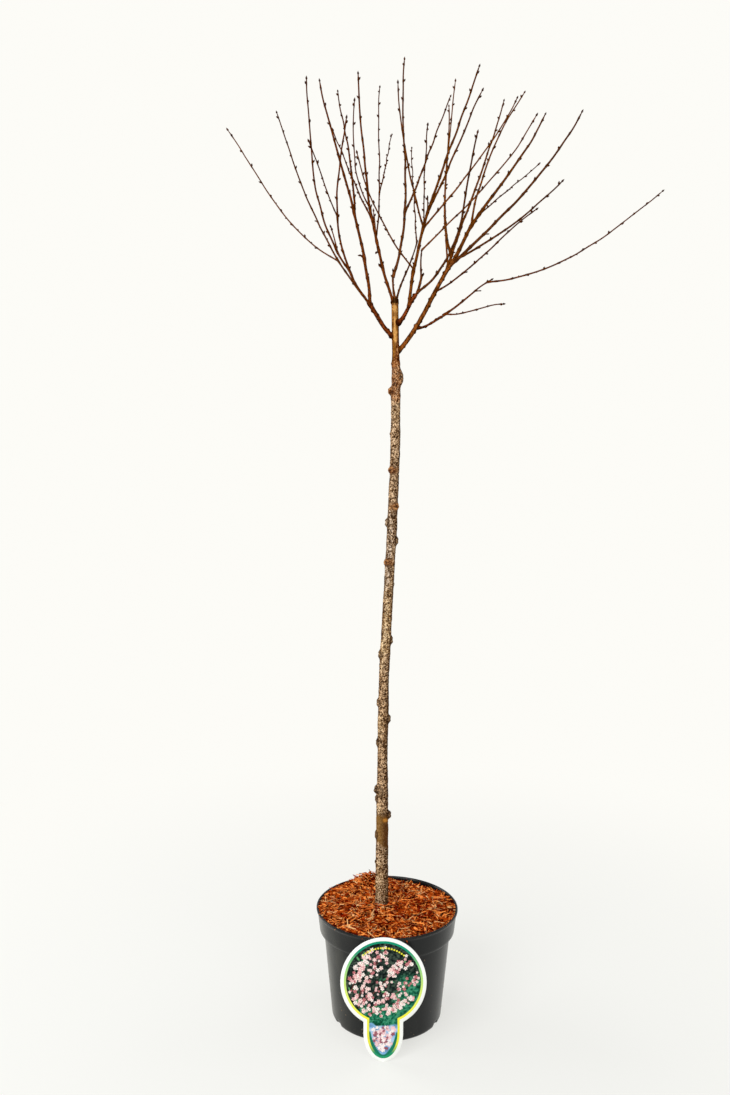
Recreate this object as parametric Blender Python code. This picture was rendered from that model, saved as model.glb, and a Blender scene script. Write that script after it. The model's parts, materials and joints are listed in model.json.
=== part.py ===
"""A flowering almond grown as a small standard tree in a nursery pot, bare and in bud.

Metres, +Z up. The origin is the middle of the pot's underside and +Y points away from the front.
"""

import math
import random
from collections import namedtuple

import bmesh
import bpy
from mathutils import Vector, noise

# Clearances
GAP = 0.0003
WELD = 0.000001

# Pot
POT_HEIGHT = 0.160
POT_RIM_RADIUS = 0.105
POT_FOOT_RADIUS = 0.081
POT_WALL = 0.002
POT_FLOOR = 0.003
FOOT_BEVEL = 0.003
LIP_HEIGHT = 0.003
LIP_WIDTH = 0.003
LIP_STEP = 0.0015
LIP_ROUND = 0.0005
COLLAR_HEIGHT = 0.034
COLLAR_STEP = 0.006
COLLAR_TAPER = 0.005
LEDGE_RISE = 0.002
POT_STEPS = 48
NOTCH_COUNT = 6
NOTCH_RADIUS = 0.007
NOTCH_HEIGHT = 0.006
NOTCH_OUTSIDE = 0.0045

# Bark mulch and root ball
MULCH_LEDGE_RISES = (0.0025, 0.0046)
MULCH_EDGE_DROP = 0.004
MULCH_EDGE_GAP = 0.0012
MULCH_CROWN = 0.007
MULCH_ROUGHNESS = 0.002
MULCH_LUMPS_PER_METRE = 90
MULCH_HEAP_HEIGHT = 0.011
MULCH_HEAP_PLACE = (-0.028, 0.088)
MULCH_HEAP_REACH = 0.024
MULCH_RINGS = 5

# Picture label, which stands on its tip and leans on the pot's lip
LABEL_LENGTH = 0.164
LABEL_HEAD_RADIUS = 0.059
LABEL_TAIL_HALF = 0.027
LABEL_TIP_LENGTH = 0.038
LABEL_THICKNESS = 0.001
LABEL_X = -0.007
LABEL_LEAN = math.radians(7.0)
LABEL_STEPS = 40
LABEL_TIP_STEPS = 12

# Trunk: it stands left of the pot's middle, upright at first, and then leans to the right
TRUNK_FOOT = 0.115
TRUNK_TOP = 0.960
TRUNK_FOOT_X = -0.008
TRUNK_TOP_X = 0.0082
LEAN_FROM = 0.400
LEAN_TO = 0.880
# Height and radius: a flare at the foot, then a slow taper
TRUNK_RADII = (
    (0.115, 0.0100),
    (0.165, 0.0094),
    (0.250, 0.0090),
    (0.390, 0.0075),
    (0.880, 0.0069),
    (0.960, 0.0061),
)
TRUNK_RING = 0.035
KNOT_RADIUS = 0.006
FRONT_LEFT = math.radians(232)
LEFT = math.radians(180)
RIGHT = math.radians(0)
FRONT_RIGHT = math.radians(-55)
# Pruning knots and, last, the two lumps of the graft. `size` is how far one stands out of the bark
# and `tall` is its height over its width.
Knot = namedtuple("Knot", "height bearing size tall")
KNOTS = (
    Knot(0.267, LEFT, 0.0018, 1.0),
    Knot(0.297, RIGHT, 0.0038, 1.0),
    Knot(0.333, FRONT_LEFT, 0.0022, 1.0),
    Knot(0.405, LEFT, 0.0020, 1.0),
    Knot(0.441, RIGHT, 0.0030, 1.0),
    Knot(0.465, LEFT, 0.0022, 1.0),
    Knot(0.537, LEFT, 0.0022, 1.0),
    Knot(0.558, RIGHT, 0.0025, 1.0),
    Knot(0.673, FRONT_LEFT, 0.0026, 1.0),
    Knot(0.704, RIGHT, 0.0025, 1.0),
    Knot(0.731, LEFT, 0.0030, 1.0),
    Knot(0.754, FRONT_RIGHT, 0.0020, 1.0),
    Knot(0.807, FRONT_LEFT, 0.0032, 1.0),
    Knot(0.922, LEFT, 0.0048, 1.0),
    Knot(0.941, RIGHT, 0.0048, 1.9),
)

# Limbs. A limb leaves its parent at a share of the parent's length and reaches its tip. `bends` says
# how far its curve is drawn to the right, as seen from the front: near its start and near its tip.
Limb = namedtuple("Limb", "name parent leaves tip bends base_radius tip_radius")
LEADER_TOP = (0.0060, 0.0, 1.054)
LEADER_RADII = (0.0053, 0.0050)
LIMBS = (
    Limb("left_bough", "leader", 0.40, (-0.034, -0.005, 1.050), (-0.008, 0.001), 0.0031, 0.0028),
    Limb("middle_bough", "leader", 0.60, (0.037, -0.020, 1.057), (0.008, -0.003), 0.0028, 0.0024),
    Limb("right_bough", "leader", 0.16, (0.094, 0.012, 1.116), (0.012, -0.004), 0.0034, 0.0027),
    Limb("low_right_bough", "right_bough", 0.28, (0.075, -0.006, 1.029), (0.006, 0.002), 0.0017, 0.0015),
)
LIMB_STEPS = 10
TRUNK_LEVEL = 3
BOUGH_LEVEL = 2
SHOOT_LEVEL = 0

# Shoots of the bare crown, mass by mass. Each is given as a limb is, and the first one of a mass is
# its stem. Their taper, buds, kinks and spurs come from the rules below.
Shoot = namedtuple("Shoot", "name parent leaves tip bends base_radius")
MASSES = {
    "left_inner_shoots": (
        Shoot("stem", "left_bough", 0.90, (-0.103, -0.020, 1.356), (0.018, -0.004), 0.0023),
        Shoot("back", "stem", 0.40, (-0.082, 0.120, 1.405), (0.010, 0.001), 0.0016),
        Shoot("spur", "stem", 0.20, (-0.045, -0.012, 1.114), (0.001, 0.000), 0.0011),
    ),
    "left_outer_shoots": (
        Shoot("stem", "left_bough", 1.00, (-0.174, 0.080, 1.355), (-0.027, -0.012), 0.0014),
        Shoot("far", "stem", 0.22, (-0.231, -0.040, 1.279), (-0.036, -0.008), 0.0010),
    ),
    "left_front_shoots": (
        Shoot("stem", "left_bough", 0.88, (-0.060, -0.170, 1.241), (-0.051, -0.027), 0.0016),
        Shoot("outer", "stem", 0.20, (-0.114, -0.120, 1.312), (-0.040, -0.014), 0.0014),
        Shoot("short", "outer", 0.12, (-0.086, -0.050, 1.144), (0.007, -0.002), 0.0009),
        Shoot("front", "stem", 0.50, (-0.106, -0.210, 1.195), (-0.005, 0.002), 0.0008),
    ),
    "top_left_shoots": (
        Shoot("stem", "leader", 0.87, (-0.048, -0.050, 1.352), (-0.022, -0.012), 0.0021),
        Shoot("upright", "stem", 0.30, (-0.016, 0.090, 1.398), (0.010, -0.005), 0.0011),
        Shoot("back", "upright", 0.30, (0.006, 0.200, 1.371), (0.002, -0.003), 0.0009),
        Shoot("far_back", "stem", 0.38, (-0.093, 0.170, 1.368), (-0.002, 0.001), 0.0012),
        Shoot("front", "stem", 0.43, (-0.051, -0.130, 1.280), (-0.021, -0.011), 0.0009),
        Shoot("stub", "stem", 0.30, (-0.026, -0.030, 1.173), (0.000, 0.000), 0.0012),
        Shoot("high_spur", "stem", 0.25, (-0.023, -0.019, 1.115), (-0.001, -0.001), 0.0011),
        Shoot("low_spur", "stem", 0.18, (-0.017, -0.015, 1.098), (-0.001, -0.001), 0.0011),
    ),
    "top_upright_shoots": (
        Shoot("stem", "leader", 1.00, (0.003, 0.000, 1.098), (-0.004, 0.000), 0.0018),
        Shoot("upright", "stem", 0.70, (0.018, 0.000, 1.396), (0.030, -0.005), 0.0019),
        Shoot("right", "upright", 0.30, (0.094, 0.100, 1.389), (0.003, -0.001), 0.0015),
    ),
    "top_back_shoots": (
        Shoot("stem", "leader", 0.90, (0.041, 0.045, 1.152), (-0.004, 0.002), 0.0016),
        Shoot("back", "stem", 0.95, (0.039, 0.210, 1.354), (0.001, -0.002), 0.0010),
    ),
    "middle_inner_shoots": (
        Shoot("stem", "middle_bough", 0.60, (0.121, -0.040, 1.367), (-0.024, -0.003), 0.0023),
        Shoot("left", "stem", 0.32, (0.004, -0.140, 1.298), (-0.008, -0.010), 0.0013),
        Shoot("front", "stem", 0.32, (0.039, -0.200, 1.219), (-0.004, -0.002), 0.0009),
        Shoot("front_right", "stem", 0.40, (0.115, -0.130, 1.293), (0.004, -0.002), 0.0015),
        Shoot("right", "stem", 0.32, (0.184, 0.020, 1.351), (0.005, 0.014), 0.0013),
        Shoot("crossing", "stem", 0.15, (-0.048, -0.180, 1.194), (-0.017, -0.016), 0.0011),
        Shoot("stub", "stem", 0.38, (0.049, -0.048, 1.185), (0.001, 0.000), 0.0010),
    ),
    "middle_outer_shoots": (
        Shoot("stem", "middle_bough", 1.00, (0.041, -0.060, 1.109), (0.008, -0.001), 0.0016),
        Shoot("right", "stem", 0.96, (0.187, -0.120, 1.266), (0.007, 0.019), 0.0011),
        Shoot("front", "stem", 0.03, (0.100, -0.200, 1.211), (0.049, 0.006), 0.0017),
        Shoot("stub", "stem", 0.25, (0.045, -0.036, 1.082), (-0.001, 0.001), 0.0010),
    ),
    "right_inner_shoots": (
        Shoot("stem", "right_bough", 0.83, (0.179, 0.120, 1.392), (-0.001, 0.006), 0.0020),
        Shoot("back", "stem", 0.10, (0.094, 0.140, 1.392), (-0.018, 0.004), 0.0018),
        Shoot("upright", "stem", 0.05, (0.094, 0.030, 1.380), (-0.016, -0.005), 0.0013),
    ),
    "right_outer_shoots": (
        Shoot("stem", "right_bough", 1.00, (0.231, 0.050, 1.341), (-0.015, 0.013), 0.0026),
        Shoot("back", "stem", 0.28, (0.250, 0.190, 1.321), (-0.004, -0.001), 0.0010),
        Shoot("upright", "stem", 0.20, (0.205, 0.080, 1.386), (-0.018, -0.016), 0.0015),
    ),
    "right_front_shoots": (
        Shoot("stem", "right_bough", 0.92, (0.260, -0.060, 1.297), (0.012, 0.023), 0.0022),
        Shoot("front", "stem", 0.05, (0.218, -0.140, 1.174), (0.011, 0.012), 0.0016),
    ),
    "right_low_shoots": (
        Shoot("stem", "right_bough", 0.65, (0.180, -0.170, 1.128), (0.014, -0.003), 0.0013),
    ),
    "low_right_shoots": (
        Shoot("stem", "low_right_bough", 1.00, (0.147, -0.012, 1.081), (0.002, -0.004), 0.0016),
        Shoot("whip", "stem", 0.88, (0.399, 0.020, 1.218), (0.040, 0.020), 0.0012),
        Shoot("front", "stem", 0.04, (0.151, -0.100, 1.025), (0.010, -0.004), 0.0010),
    ),
}
DEPTH_BEND = 0.08
THINNEST_RADIUS = 0.00045
TAPER = 0.22
POINT_RADIUS = 0.0003
NODE_SPACING = 0.024
FEWEST_LINE_STEPS = 6
NODE_SPREAD = 0.15
KINK = 0.0008
BUD_TURN = math.radians(144)
BUD_ANGLE = math.radians(38)
BUD_LENGTH = 0.0048
BUD_RADIUS = 0.0013
BUD_WIDEST = 0.0028
BUD_SIDES = 3
BUD_CLEARANCE = 0.004
SPUR_CHANCE = 0.30
SPUR_REGION = 0.40
SPUR_LENGTH = (0.007, 0.011)
SPUR_CLEARANCE = 0.008

# Linear colour and roughness of each finish
FINISHES = {
    "plastic": ((0.022, 0.023, 0.024), 0.42),
    "fibre": ((0.270, 0.075, 0.022), 0.90),
    "card": ((0.060, 0.180, 0.110), 0.35),
    "bark": ((0.200, 0.135, 0.075), 0.80),
    "young_bark": ((0.260, 0.130, 0.045), 0.55),
    "shoot_bark": ((0.130, 0.048, 0.030), 0.45),
}

# A limb's middle line, the radius at each of its points, and the level that sets its sides
Grown = namedtuple("Grown", "line radii level")


def clear_scene():
    for obj in list(bpy.data.objects):
        bpy.data.objects.remove(obj)


def dress(obj, finish):
    """Gives the object a plain Principled material of its own."""
    colour, roughness = FINISHES[finish]
    made = bpy.data.materials.new(f"{obj.name}_{finish}")
    made.use_nodes = True
    shader = made.node_tree.nodes["Principled BSDF"]
    shader.inputs["Base Color"].default_value = (*colour, 1.0)
    shader.inputs["Roughness"].default_value = roughness
    shader.inputs["Metallic"].default_value = 0.0
    obj.data.materials.append(made)


def add_object(name, mesh):
    obj = bpy.data.objects.new(name, mesh)
    bpy.context.scene.collection.objects.link(obj)
    return obj


def mesh_object(name, shape):
    """An object from a bmesh, with close vertices welded and its faces turned outwards."""
    bmesh.ops.remove_doubles(shape, verts=shape.verts[:], dist=WELD)
    bmesh.ops.recalc_face_normals(shape, faces=shape.faces[:])
    mesh = bpy.data.meshes.new(name)
    shape.to_mesh(mesh)
    shape.free()
    return add_object(name, mesh)


def applied_mesh(obj):
    graph = bpy.context.evaluated_depsgraph_get()
    return bpy.data.meshes.new_from_object(obj.evaluated_get(graph))


def boolean(target, operation, operands):
    """Joins the operands to the target or cuts them from it, in one modifier that is then applied."""
    group = bpy.data.collections.new("operands")
    bpy.context.scene.collection.children.link(group)
    for operand in operands:
        bpy.context.scene.collection.objects.unlink(operand)
        group.objects.link(operand)
    modifier = target.modifiers.new(operation.title(), "BOOLEAN")
    modifier.operation = operation
    modifier.operand_type = "COLLECTION"
    modifier.collection = group
    mesh = applied_mesh(target)
    target.modifiers.clear()
    target.data = mesh
    for operand in operands:
        bpy.data.objects.remove(operand)
    bpy.data.collections.remove(group)


def smoothstep(share):
    share = min(max(share, 0.0), 1.0)
    return share * share * (3 - 2 * share)


def spun(name, profile, steps):
    """A body turned about the Z axis from a profile of (radius, height) points."""
    shape = bmesh.new()
    corners = [shape.verts.new((radius, 0.0, height)) for radius, height in profile]
    edges = [shape.edges.new(pair) for pair in zip(corners, corners[1:])]
    bmesh.ops.spin(
        shape, geom=corners + edges, cent=(0, 0, 0), axis=(0, 0, 1), angle=2 * math.pi, steps=steps
    )
    return mesh_object(name, shape)


def tube(name, points, radii, level):
    """A closed tapering tube along the points, with 4 + 2 * level sides, from a bevelled curve."""
    curve = bpy.data.curves.new(name, "CURVE")
    curve.dimensions = "3D"
    curve.bevel_depth = 1.0
    curve.bevel_resolution = level
    curve.use_fill_caps = True
    spline = curve.splines.new("POLY")
    spline.points.add(len(points) - 1)
    for place, point, radius in zip(spline.points, points, radii):
        place.co = (*point, 1.0)
        place.radius = radius
    guide = add_object(name, curve)
    mesh = applied_mesh(guide)
    bpy.data.objects.remove(guide)
    shape = bmesh.new()
    shape.from_mesh(mesh)
    return mesh_object(name, shape)


def cutter(grown):
    """A limb's tube grown by the gap all round and at both ends."""
    line, radii, level = grown
    first = (line[0] - line[1]).normalized()
    last = (line[-1] - line[-2]).normalized()
    longer = [line[0] + first * GAP, *line[1:-1], line[-1] + last * GAP]
    return tube("cutter", longer, [radius + GAP for radius in radii], level)


def tapered(base, tip, steps):
    """Radii that fall evenly from base to tip, one at each end of the steps."""
    return [base + (tip - base) * step / steps for step in range(steps + 1)]


def bent_line(start, tip, bends, steps):
    """Points on a cubic curve from start to tip. Its two control points stand a third and two thirds
    of the way along, each moved to the right by its bend and outwards in depth by a fixed share."""
    chord = tip - start
    side = Vector((chord.z, 0.0, -chord.x)).normalized()
    deeper = Vector((0.0, DEPTH_BEND * chord.y, 0.0))
    low = start + chord / 3 + side * bends[0] + deeper
    high = start + chord * 2 / 3 + side * bends[1] + deeper
    points = []
    for step in range(steps + 1):
        t = step / steps
        outer = start * (1 - t) ** 3 + tip * t**3
        points.append(outer + low * (3 * t * (1 - t) ** 2) + high * (3 * t * t * (1 - t)))
    return points


def point_at(line, share):
    """The point at a share of the line's steps."""
    place = min(share, 1.0) * (len(line) - 1)
    index = min(int(place), len(line) - 2)
    return line[index].lerp(line[index + 1], place - index)


def line_length(line):
    return sum((b - a).length for a, b in zip(line, line[1:]))


def pot_radius(height):
    """The outer radius of the wall below the collar."""
    top = POT_RIM_RADIUS - COLLAR_TAPER - COLLAR_STEP
    return POT_FOOT_RADIUS + (top - POT_FOOT_RADIUS) * height / (POT_HEIGHT - COLLAR_HEIGHT)


def make_pot():
    """A thin tapered wall with a deeper collar and a lip, and drain notches round its foot."""
    step = POT_HEIGHT - COLLAR_HEIGHT
    below = pot_radius(step)
    collar = POT_RIM_RADIUS - COLLAR_TAPER
    lip = POT_HEIGHT - LIP_HEIGHT
    profile = (
        (0.0, 0.0),
        (POT_FOOT_RADIUS - FOOT_BEVEL, 0.0),
        (pot_radius(FOOT_BEVEL), FOOT_BEVEL),
        (below, step),
        (collar, step + LEDGE_RISE),
        (POT_RIM_RADIUS - LIP_STEP, lip),
        (POT_RIM_RADIUS, lip + LIP_ROUND),
        (POT_RIM_RADIUS, POT_HEIGHT - LIP_ROUND),
        (POT_RIM_RADIUS - LIP_ROUND, POT_HEIGHT),
        (POT_RIM_RADIUS - LIP_WIDTH, POT_HEIGHT),
        (collar - POT_WALL, step + 2 * LEDGE_RISE),
        (below - POT_WALL, step + LEDGE_RISE),
        (pot_radius(POT_FLOOR) - POT_WALL, POT_FLOOR),
        (0.0, POT_FLOOR),
    )
    pot = spun("pot", profile, POT_STEPS)
    boolean(pot, "DIFFERENCE", [notch_cutter(index) for index in range(NOTCH_COUNT)])
    dress(pot, "plastic")


def notch_cutter(index):
    """A small dome centred just outside the foot's edge, which leaves an arched drain notch."""
    bearing = 2 * math.pi * (index + 0.5) / NOTCH_COUNT
    place = Vector((math.cos(bearing), math.sin(bearing), 0.0)) * (POT_FOOT_RADIUS + NOTCH_OUTSIDE)
    shape = bmesh.new()
    bmesh.ops.create_uvsphere(shape, u_segments=12, v_segments=6, radius=NOTCH_RADIUS)
    bmesh.ops.scale(shape, vec=(1.0, 1.0, NOTCH_HEIGHT / NOTCH_RADIUS), verts=shape.verts[:])
    bmesh.ops.translate(shape, vec=place, verts=shape.verts[:])
    return mesh_object("cutter", shape)


def mulch_height(x, y, edge_share):
    """The mulch's surface: mounded at the middle, heaped at the back left, and rough all over."""
    heap_x, heap_y = MULCH_HEAP_PLACE
    away = math.hypot(x - heap_x, y - heap_y) / MULCH_HEAP_REACH
    heap = MULCH_HEAP_HEIGHT * math.exp(-(away**2))
    mound = MULCH_CROWN * (1 - edge_share**2)
    rough = MULCH_ROUGHNESS * noise.noise(Vector((x, y, 0.0)) * MULCH_LUMPS_PER_METRE)
    return POT_HEIGHT - MULCH_EDGE_DROP + mound + heap + rough


def make_mulch(trunk):
    """The root ball with its layer of bark mulch, which fills the pot 0.3 mm clear of its walls."""
    step = POT_HEIGHT - COLLAR_HEIGHT
    floor = POT_FLOOR + GAP
    foot = pot_radius(POT_FLOOR) - POT_WALL - 2 * GAP
    below = pot_radius(step) - POT_WALL - GAP
    collar = POT_RIM_RADIUS - COLLAR_TAPER - POT_WALL - 2 * GAP
    low_ledge, high_ledge = (step + rise for rise in MULCH_LEDGE_RISES)
    edge = POT_RIM_RADIUS - LIP_WIDTH - MULCH_EDGE_GAP
    edge_height = POT_HEIGHT - MULCH_EDGE_DROP
    walls = [(0.0, floor), (foot, floor), (below, low_ledge), (collar, high_ledge)]
    top = [(edge * ring / MULCH_RINGS, edge_height) for ring in range(MULCH_RINGS, -1, -1)]
    mulch = spun("bark_mulch", walls + top, POT_STEPS)
    for vertex in mulch.data.vertices:
        if vertex.co.z > edge_height - WELD:
            share = vertex.co.xy.length / edge
            vertex.co.z = mulch_height(vertex.co.x, vertex.co.y, share)
    boolean(mulch, "DIFFERENCE", [cutter(trunk)])
    dress(mulch, "fibre")


def label_outline():
    """The label's outline from its tip at the origin: a rounded tail below a round head."""
    head_middle = LABEL_LENGTH - LABEL_HEAD_RADIUS
    start = -math.acos(LABEL_TAIL_HALF / LABEL_HEAD_RADIUS)
    sweep = math.pi - 2 * start
    points = []
    for index in range(LABEL_TIP_STEPS + 1):
        angle = math.pi + math.pi * index / LABEL_TIP_STEPS
        height = LABEL_TIP_LENGTH * (1 + math.sin(angle))
        points.append((LABEL_TAIL_HALF * math.cos(angle), height))
    for index in range(LABEL_STEPS + 1):
        angle = start + sweep * index / LABEL_STEPS
        height = head_middle + LABEL_HEAD_RADIUS * math.sin(angle)
        points.append((LABEL_HEAD_RADIUS * math.cos(angle), height))
    return points


def make_label():
    """A thin picture label whose tip is on the ground and whose head leans on the pot's lip."""
    shape = bmesh.new()
    face = shape.faces.new([shape.verts.new((x, 0.0, z)) for x, z in label_outline()])
    extruded = bmesh.ops.extrude_face_region(shape, geom=[face])
    moved = [part for part in extruded["geom"] if isinstance(part, bmesh.types.BMVert)]
    bmesh.ops.translate(shape, vec=(0.0, -LABEL_THICKNESS, 0.0), verts=moved)
    label = mesh_object("plant_label", shape)
    foot_y = -(POT_RIM_RADIUS + GAP) - POT_HEIGHT * math.tan(LABEL_LEAN)
    label.location = (LABEL_X, foot_y, 0.0)
    label.rotation_euler = (-LABEL_LEAN, 0.0, 0.0)
    dress(label, "card")


def trunk_x(height):
    share = smoothstep((height - LEAN_FROM) / (LEAN_TO - LEAN_FROM))
    return TRUNK_FOOT_X + (TRUNK_TOP_X - TRUNK_FOOT_X) * share


def trunk_radius(height):
    for (low, low_radius), (high, high_radius) in zip(TRUNK_RADII, TRUNK_RADII[1:]):
        if height <= high:
            return low_radius + (high_radius - low_radius) * (height - low) / (high - low)
    return TRUNK_RADII[-1][1]


def trunk_limb():
    rings = round((TRUNK_TOP - TRUNK_FOOT) / TRUNK_RING)
    heights = [TRUNK_FOOT + (TRUNK_TOP - TRUNK_FOOT) * ring / rings for ring in range(rings + 1)]
    line = [Vector((trunk_x(height), 0.0, height)) for height in heights]
    return Grown(line, [trunk_radius(height) for height in heights], TRUNK_LEVEL)


def knot_body(knot):
    """A rounded lump sunk in the trunk, where a shoot was pruned or the graft healed."""
    outwards = Vector((math.cos(knot.bearing), math.sin(knot.bearing), 0.0))
    middle = Vector((trunk_x(knot.height), 0.0, knot.height))
    middle += outwards * (trunk_radius(knot.height) + knot.size - KNOT_RADIUS)
    shape = bmesh.new()
    bmesh.ops.create_icosphere(shape, subdivisions=2, radius=KNOT_RADIUS)
    bmesh.ops.scale(shape, vec=(1.0, 1.0, knot.tall), verts=shape.verts[:])
    bmesh.ops.translate(shape, vec=middle, verts=shape.verts[:])
    return mesh_object("knot", shape)


def make_trunk(limb):
    trunk = tube("trunk", *limb)
    boolean(trunk, "UNION", [knot_body(knot) for knot in KNOTS])
    dress(trunk, "bark")


def make_leader():
    """The upright stump of the grafted variety, cut flat at its top."""
    start = Vector((trunk_x(TRUNK_TOP), 0.0, TRUNK_TOP + GAP))
    line = bent_line(start, Vector(LEADER_TOP), (0.0, 0.0), LIMB_STEPS)
    limb = Grown(line, tapered(*LEADER_RADII, LIMB_STEPS), TRUNK_LEVEL)
    dress(tube("leader", *limb), "young_bark")
    return limb


def make_boughs(leader):
    """The boughs, each cut 0.3 mm clear of the limb that it leaves. Returns every limb by name."""
    limbs = {"leader": leader}
    for row in LIMBS:
        parent = limbs[row.parent]
        line = bent_line(point_at(parent.line, row.leaves), Vector(row.tip), row.bends, LIMB_STEPS)
        limb = Grown(line, tapered(row.base_radius, row.tip_radius, LIMB_STEPS), BOUGH_LEVEL)
        bough = tube(row.name, *limb)
        boolean(bough, "DIFFERENCE", [cutter(parent)])
        dress(bough, "young_bark")
        limbs[row.name] = limb
    return limbs


def shoot_rings(line, chance):
    """Points along a shoot, unevenly spaced and each moved aside by a kink, with its two ends."""
    count = max(2, round(line_length(line) / NODE_SPACING))
    points = [line[0]]
    for index in range(1, count):
        share = (index + chance.uniform(-NODE_SPREAD, NODE_SPREAD)) / count
        kink = Vector((chance.uniform(-1, 1), chance.uniform(-1, 1), 0.0)) * KINK
        points.append(point_at(line, share) + kink)
    return [*points, line[-1]]


def add_bud(shape, place, direction, length, radius):
    """A slim three-sided spindle that starts at a place inside a shoot: a bud or, when longer, a spur."""
    turn = direction.to_track_quat("Z", "Y").to_matrix()
    foot = shape.verts.new(place)
    tip = shape.verts.new(place + direction * length)
    widest = place + direction * BUD_WIDEST
    bearings = [2 * math.pi * side / BUD_SIDES for side in range(BUD_SIDES)]
    ring = [
        shape.verts.new(widest + turn @ Vector((math.cos(angle), math.sin(angle), 0.0)) * radius)
        for angle in bearings
    ]
    for first, second in zip(ring, [*ring[1:], ring[0]]):
        shape.faces.new((foot, second, first))
        shape.faces.new((tip, first, second))


def add_buds(shape, points, others, stem, chance):
    """Buds wound up the shoot, one between each two of its points, and spurs low on a stem. One that
    would come near a limb or another shoot is skipped."""
    turn = chance.uniform(0, 2 * math.pi)
    for index, (low, high) in enumerate(zip(points[1:], points[2:])):
        turn += BUD_TURN
        place = (low + high) / 2
        along = (high - low).normalized()
        across = Vector((math.cos(turn), math.sin(turn), 0.0))
        across = (across - along * across.dot(along)).normalized()
        direction = across * math.sin(BUD_ANGLE) + along * math.cos(BUD_ANGLE)
        length, room = BUD_LENGTH, BUD_CLEARANCE
        if stem and index < SPUR_REGION * len(points) and chance.random() < SPUR_CHANCE:
            length, room = chance.uniform(*SPUR_LENGTH), SPUR_CLEARANCE
        tip = place + direction * length
        if min((tip - other).length - radius for other, radius in others) > room:
            add_bud(shape, place, direction, length, BUD_RADIUS)


def mass_lines(shoots, limbs):
    """The middle line of each shoot of a mass, by name."""
    lines = {}
    for shoot in shoots:
        parent = lines[shoot.parent] if shoot.parent in lines else limbs[shoot.parent].line
        start = point_at(parent, shoot.leaves)
        tip = Vector(shoot.tip)
        steps = max(FEWEST_LINE_STEPS, 2 * round((tip - start).length / NODE_SPACING))
        lines[shoot.name] = bent_line(start, tip, shoot.bends, steps)
    return lines


def places_near(own, limbs, all_lines):
    """(point, radius) pairs along every limb and along every shoot of the crown but the one named."""
    pairs = [pair for limb in limbs.values() for pair in zip(limb.line, limb.radii)]
    for mass, lines in all_lines.items():
        for name, line in lines.items():
            if (mass, name) != own:
                pairs += [(point, 0.0) for point in line]
    return pairs


def shoot_body(base_radius, points):
    """A four-sided shoot that tapers to a point."""
    tip_radius = THINNEST_RADIUS + TAPER * base_radius
    radii = tapered(base_radius, tip_radius, len(points) - 1)
    return tube("shoot", points, [*radii[:-1], POINT_RADIUS], SHOOT_LEVEL)


def make_mass(name, limbs, all_lines):
    """One mass of the crown: its stem and side shoots with their buds, joined in one union."""
    chance = random.Random(name)
    bodies = []
    buds = bmesh.new()
    for shoot in MASSES[name]:
        stem = not bodies
        points = shoot_rings(all_lines[name][shoot.name], chance)
        bodies.append(shoot_body(shoot.base_radius, points))
        add_buds(buds, points, places_near((name, shoot.name), limbs, all_lines), stem, chance)
    mass = bodies.pop(0)
    boolean(mass, "UNION", [*bodies, mesh_object("buds", buds)])
    boolean(mass, "DIFFERENCE", [cutter(limbs[MASSES[name][0].parent])])
    mass.name = name
    dress(mass, "shoot_bark")


def main():
    clear_scene()
    trunk = trunk_limb()
    make_pot()
    make_mulch(trunk)
    make_label()
    make_trunk(trunk)
    limbs = make_boughs(make_leader())
    all_lines = {name: mass_lines(shoots, limbs) for name, shoots in MASSES.items()}
    for name in MASSES:
        make_mass(name, limbs, all_lines)
    pieces = list(bpy.context.scene.objects)
    plant = add_object("flowering_almond", None)
    for piece in pieces:
        piece.parent = plant


main()
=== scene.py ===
"""Looks of a bare flowering almond grown as a small standard in a nursery pot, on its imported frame.

Metres, +Z up. The origin is the middle of the pot's underside and +Y points away from the front.
"""

import json
import math
import random
from collections import namedtuple

import bpy
import numpy as np
from bpy.props import FloatProperty, FloatVectorProperty, IntProperty, PointerProperty
from mathutils import Matrix, Vector

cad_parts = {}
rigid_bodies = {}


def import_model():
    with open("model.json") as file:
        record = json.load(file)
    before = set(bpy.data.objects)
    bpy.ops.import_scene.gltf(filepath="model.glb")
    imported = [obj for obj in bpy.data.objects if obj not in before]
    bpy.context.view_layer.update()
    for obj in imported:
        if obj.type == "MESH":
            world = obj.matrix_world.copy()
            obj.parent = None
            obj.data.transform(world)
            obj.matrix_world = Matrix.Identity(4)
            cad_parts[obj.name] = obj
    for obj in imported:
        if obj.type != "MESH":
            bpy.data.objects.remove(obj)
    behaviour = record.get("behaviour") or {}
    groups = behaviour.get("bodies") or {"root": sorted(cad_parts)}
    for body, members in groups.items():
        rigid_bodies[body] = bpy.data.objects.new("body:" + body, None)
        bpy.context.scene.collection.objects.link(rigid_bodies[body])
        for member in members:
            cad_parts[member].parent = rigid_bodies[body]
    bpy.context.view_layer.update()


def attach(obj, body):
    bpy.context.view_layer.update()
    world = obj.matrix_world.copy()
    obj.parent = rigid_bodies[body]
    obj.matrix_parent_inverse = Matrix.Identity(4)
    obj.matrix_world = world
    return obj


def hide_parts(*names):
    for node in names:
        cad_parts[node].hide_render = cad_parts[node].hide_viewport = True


bl_info = {
    "name": "Potted flowering almond",
    "version": (1, 0, 0),
    "blender": (4, 5, 0),
    "location": "View3D > Sidebar > Almond",
    "description": "Bark, shoots, buds, mulch, pot and label of a bare flowering almond",
    "category": "Object",
}

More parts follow.
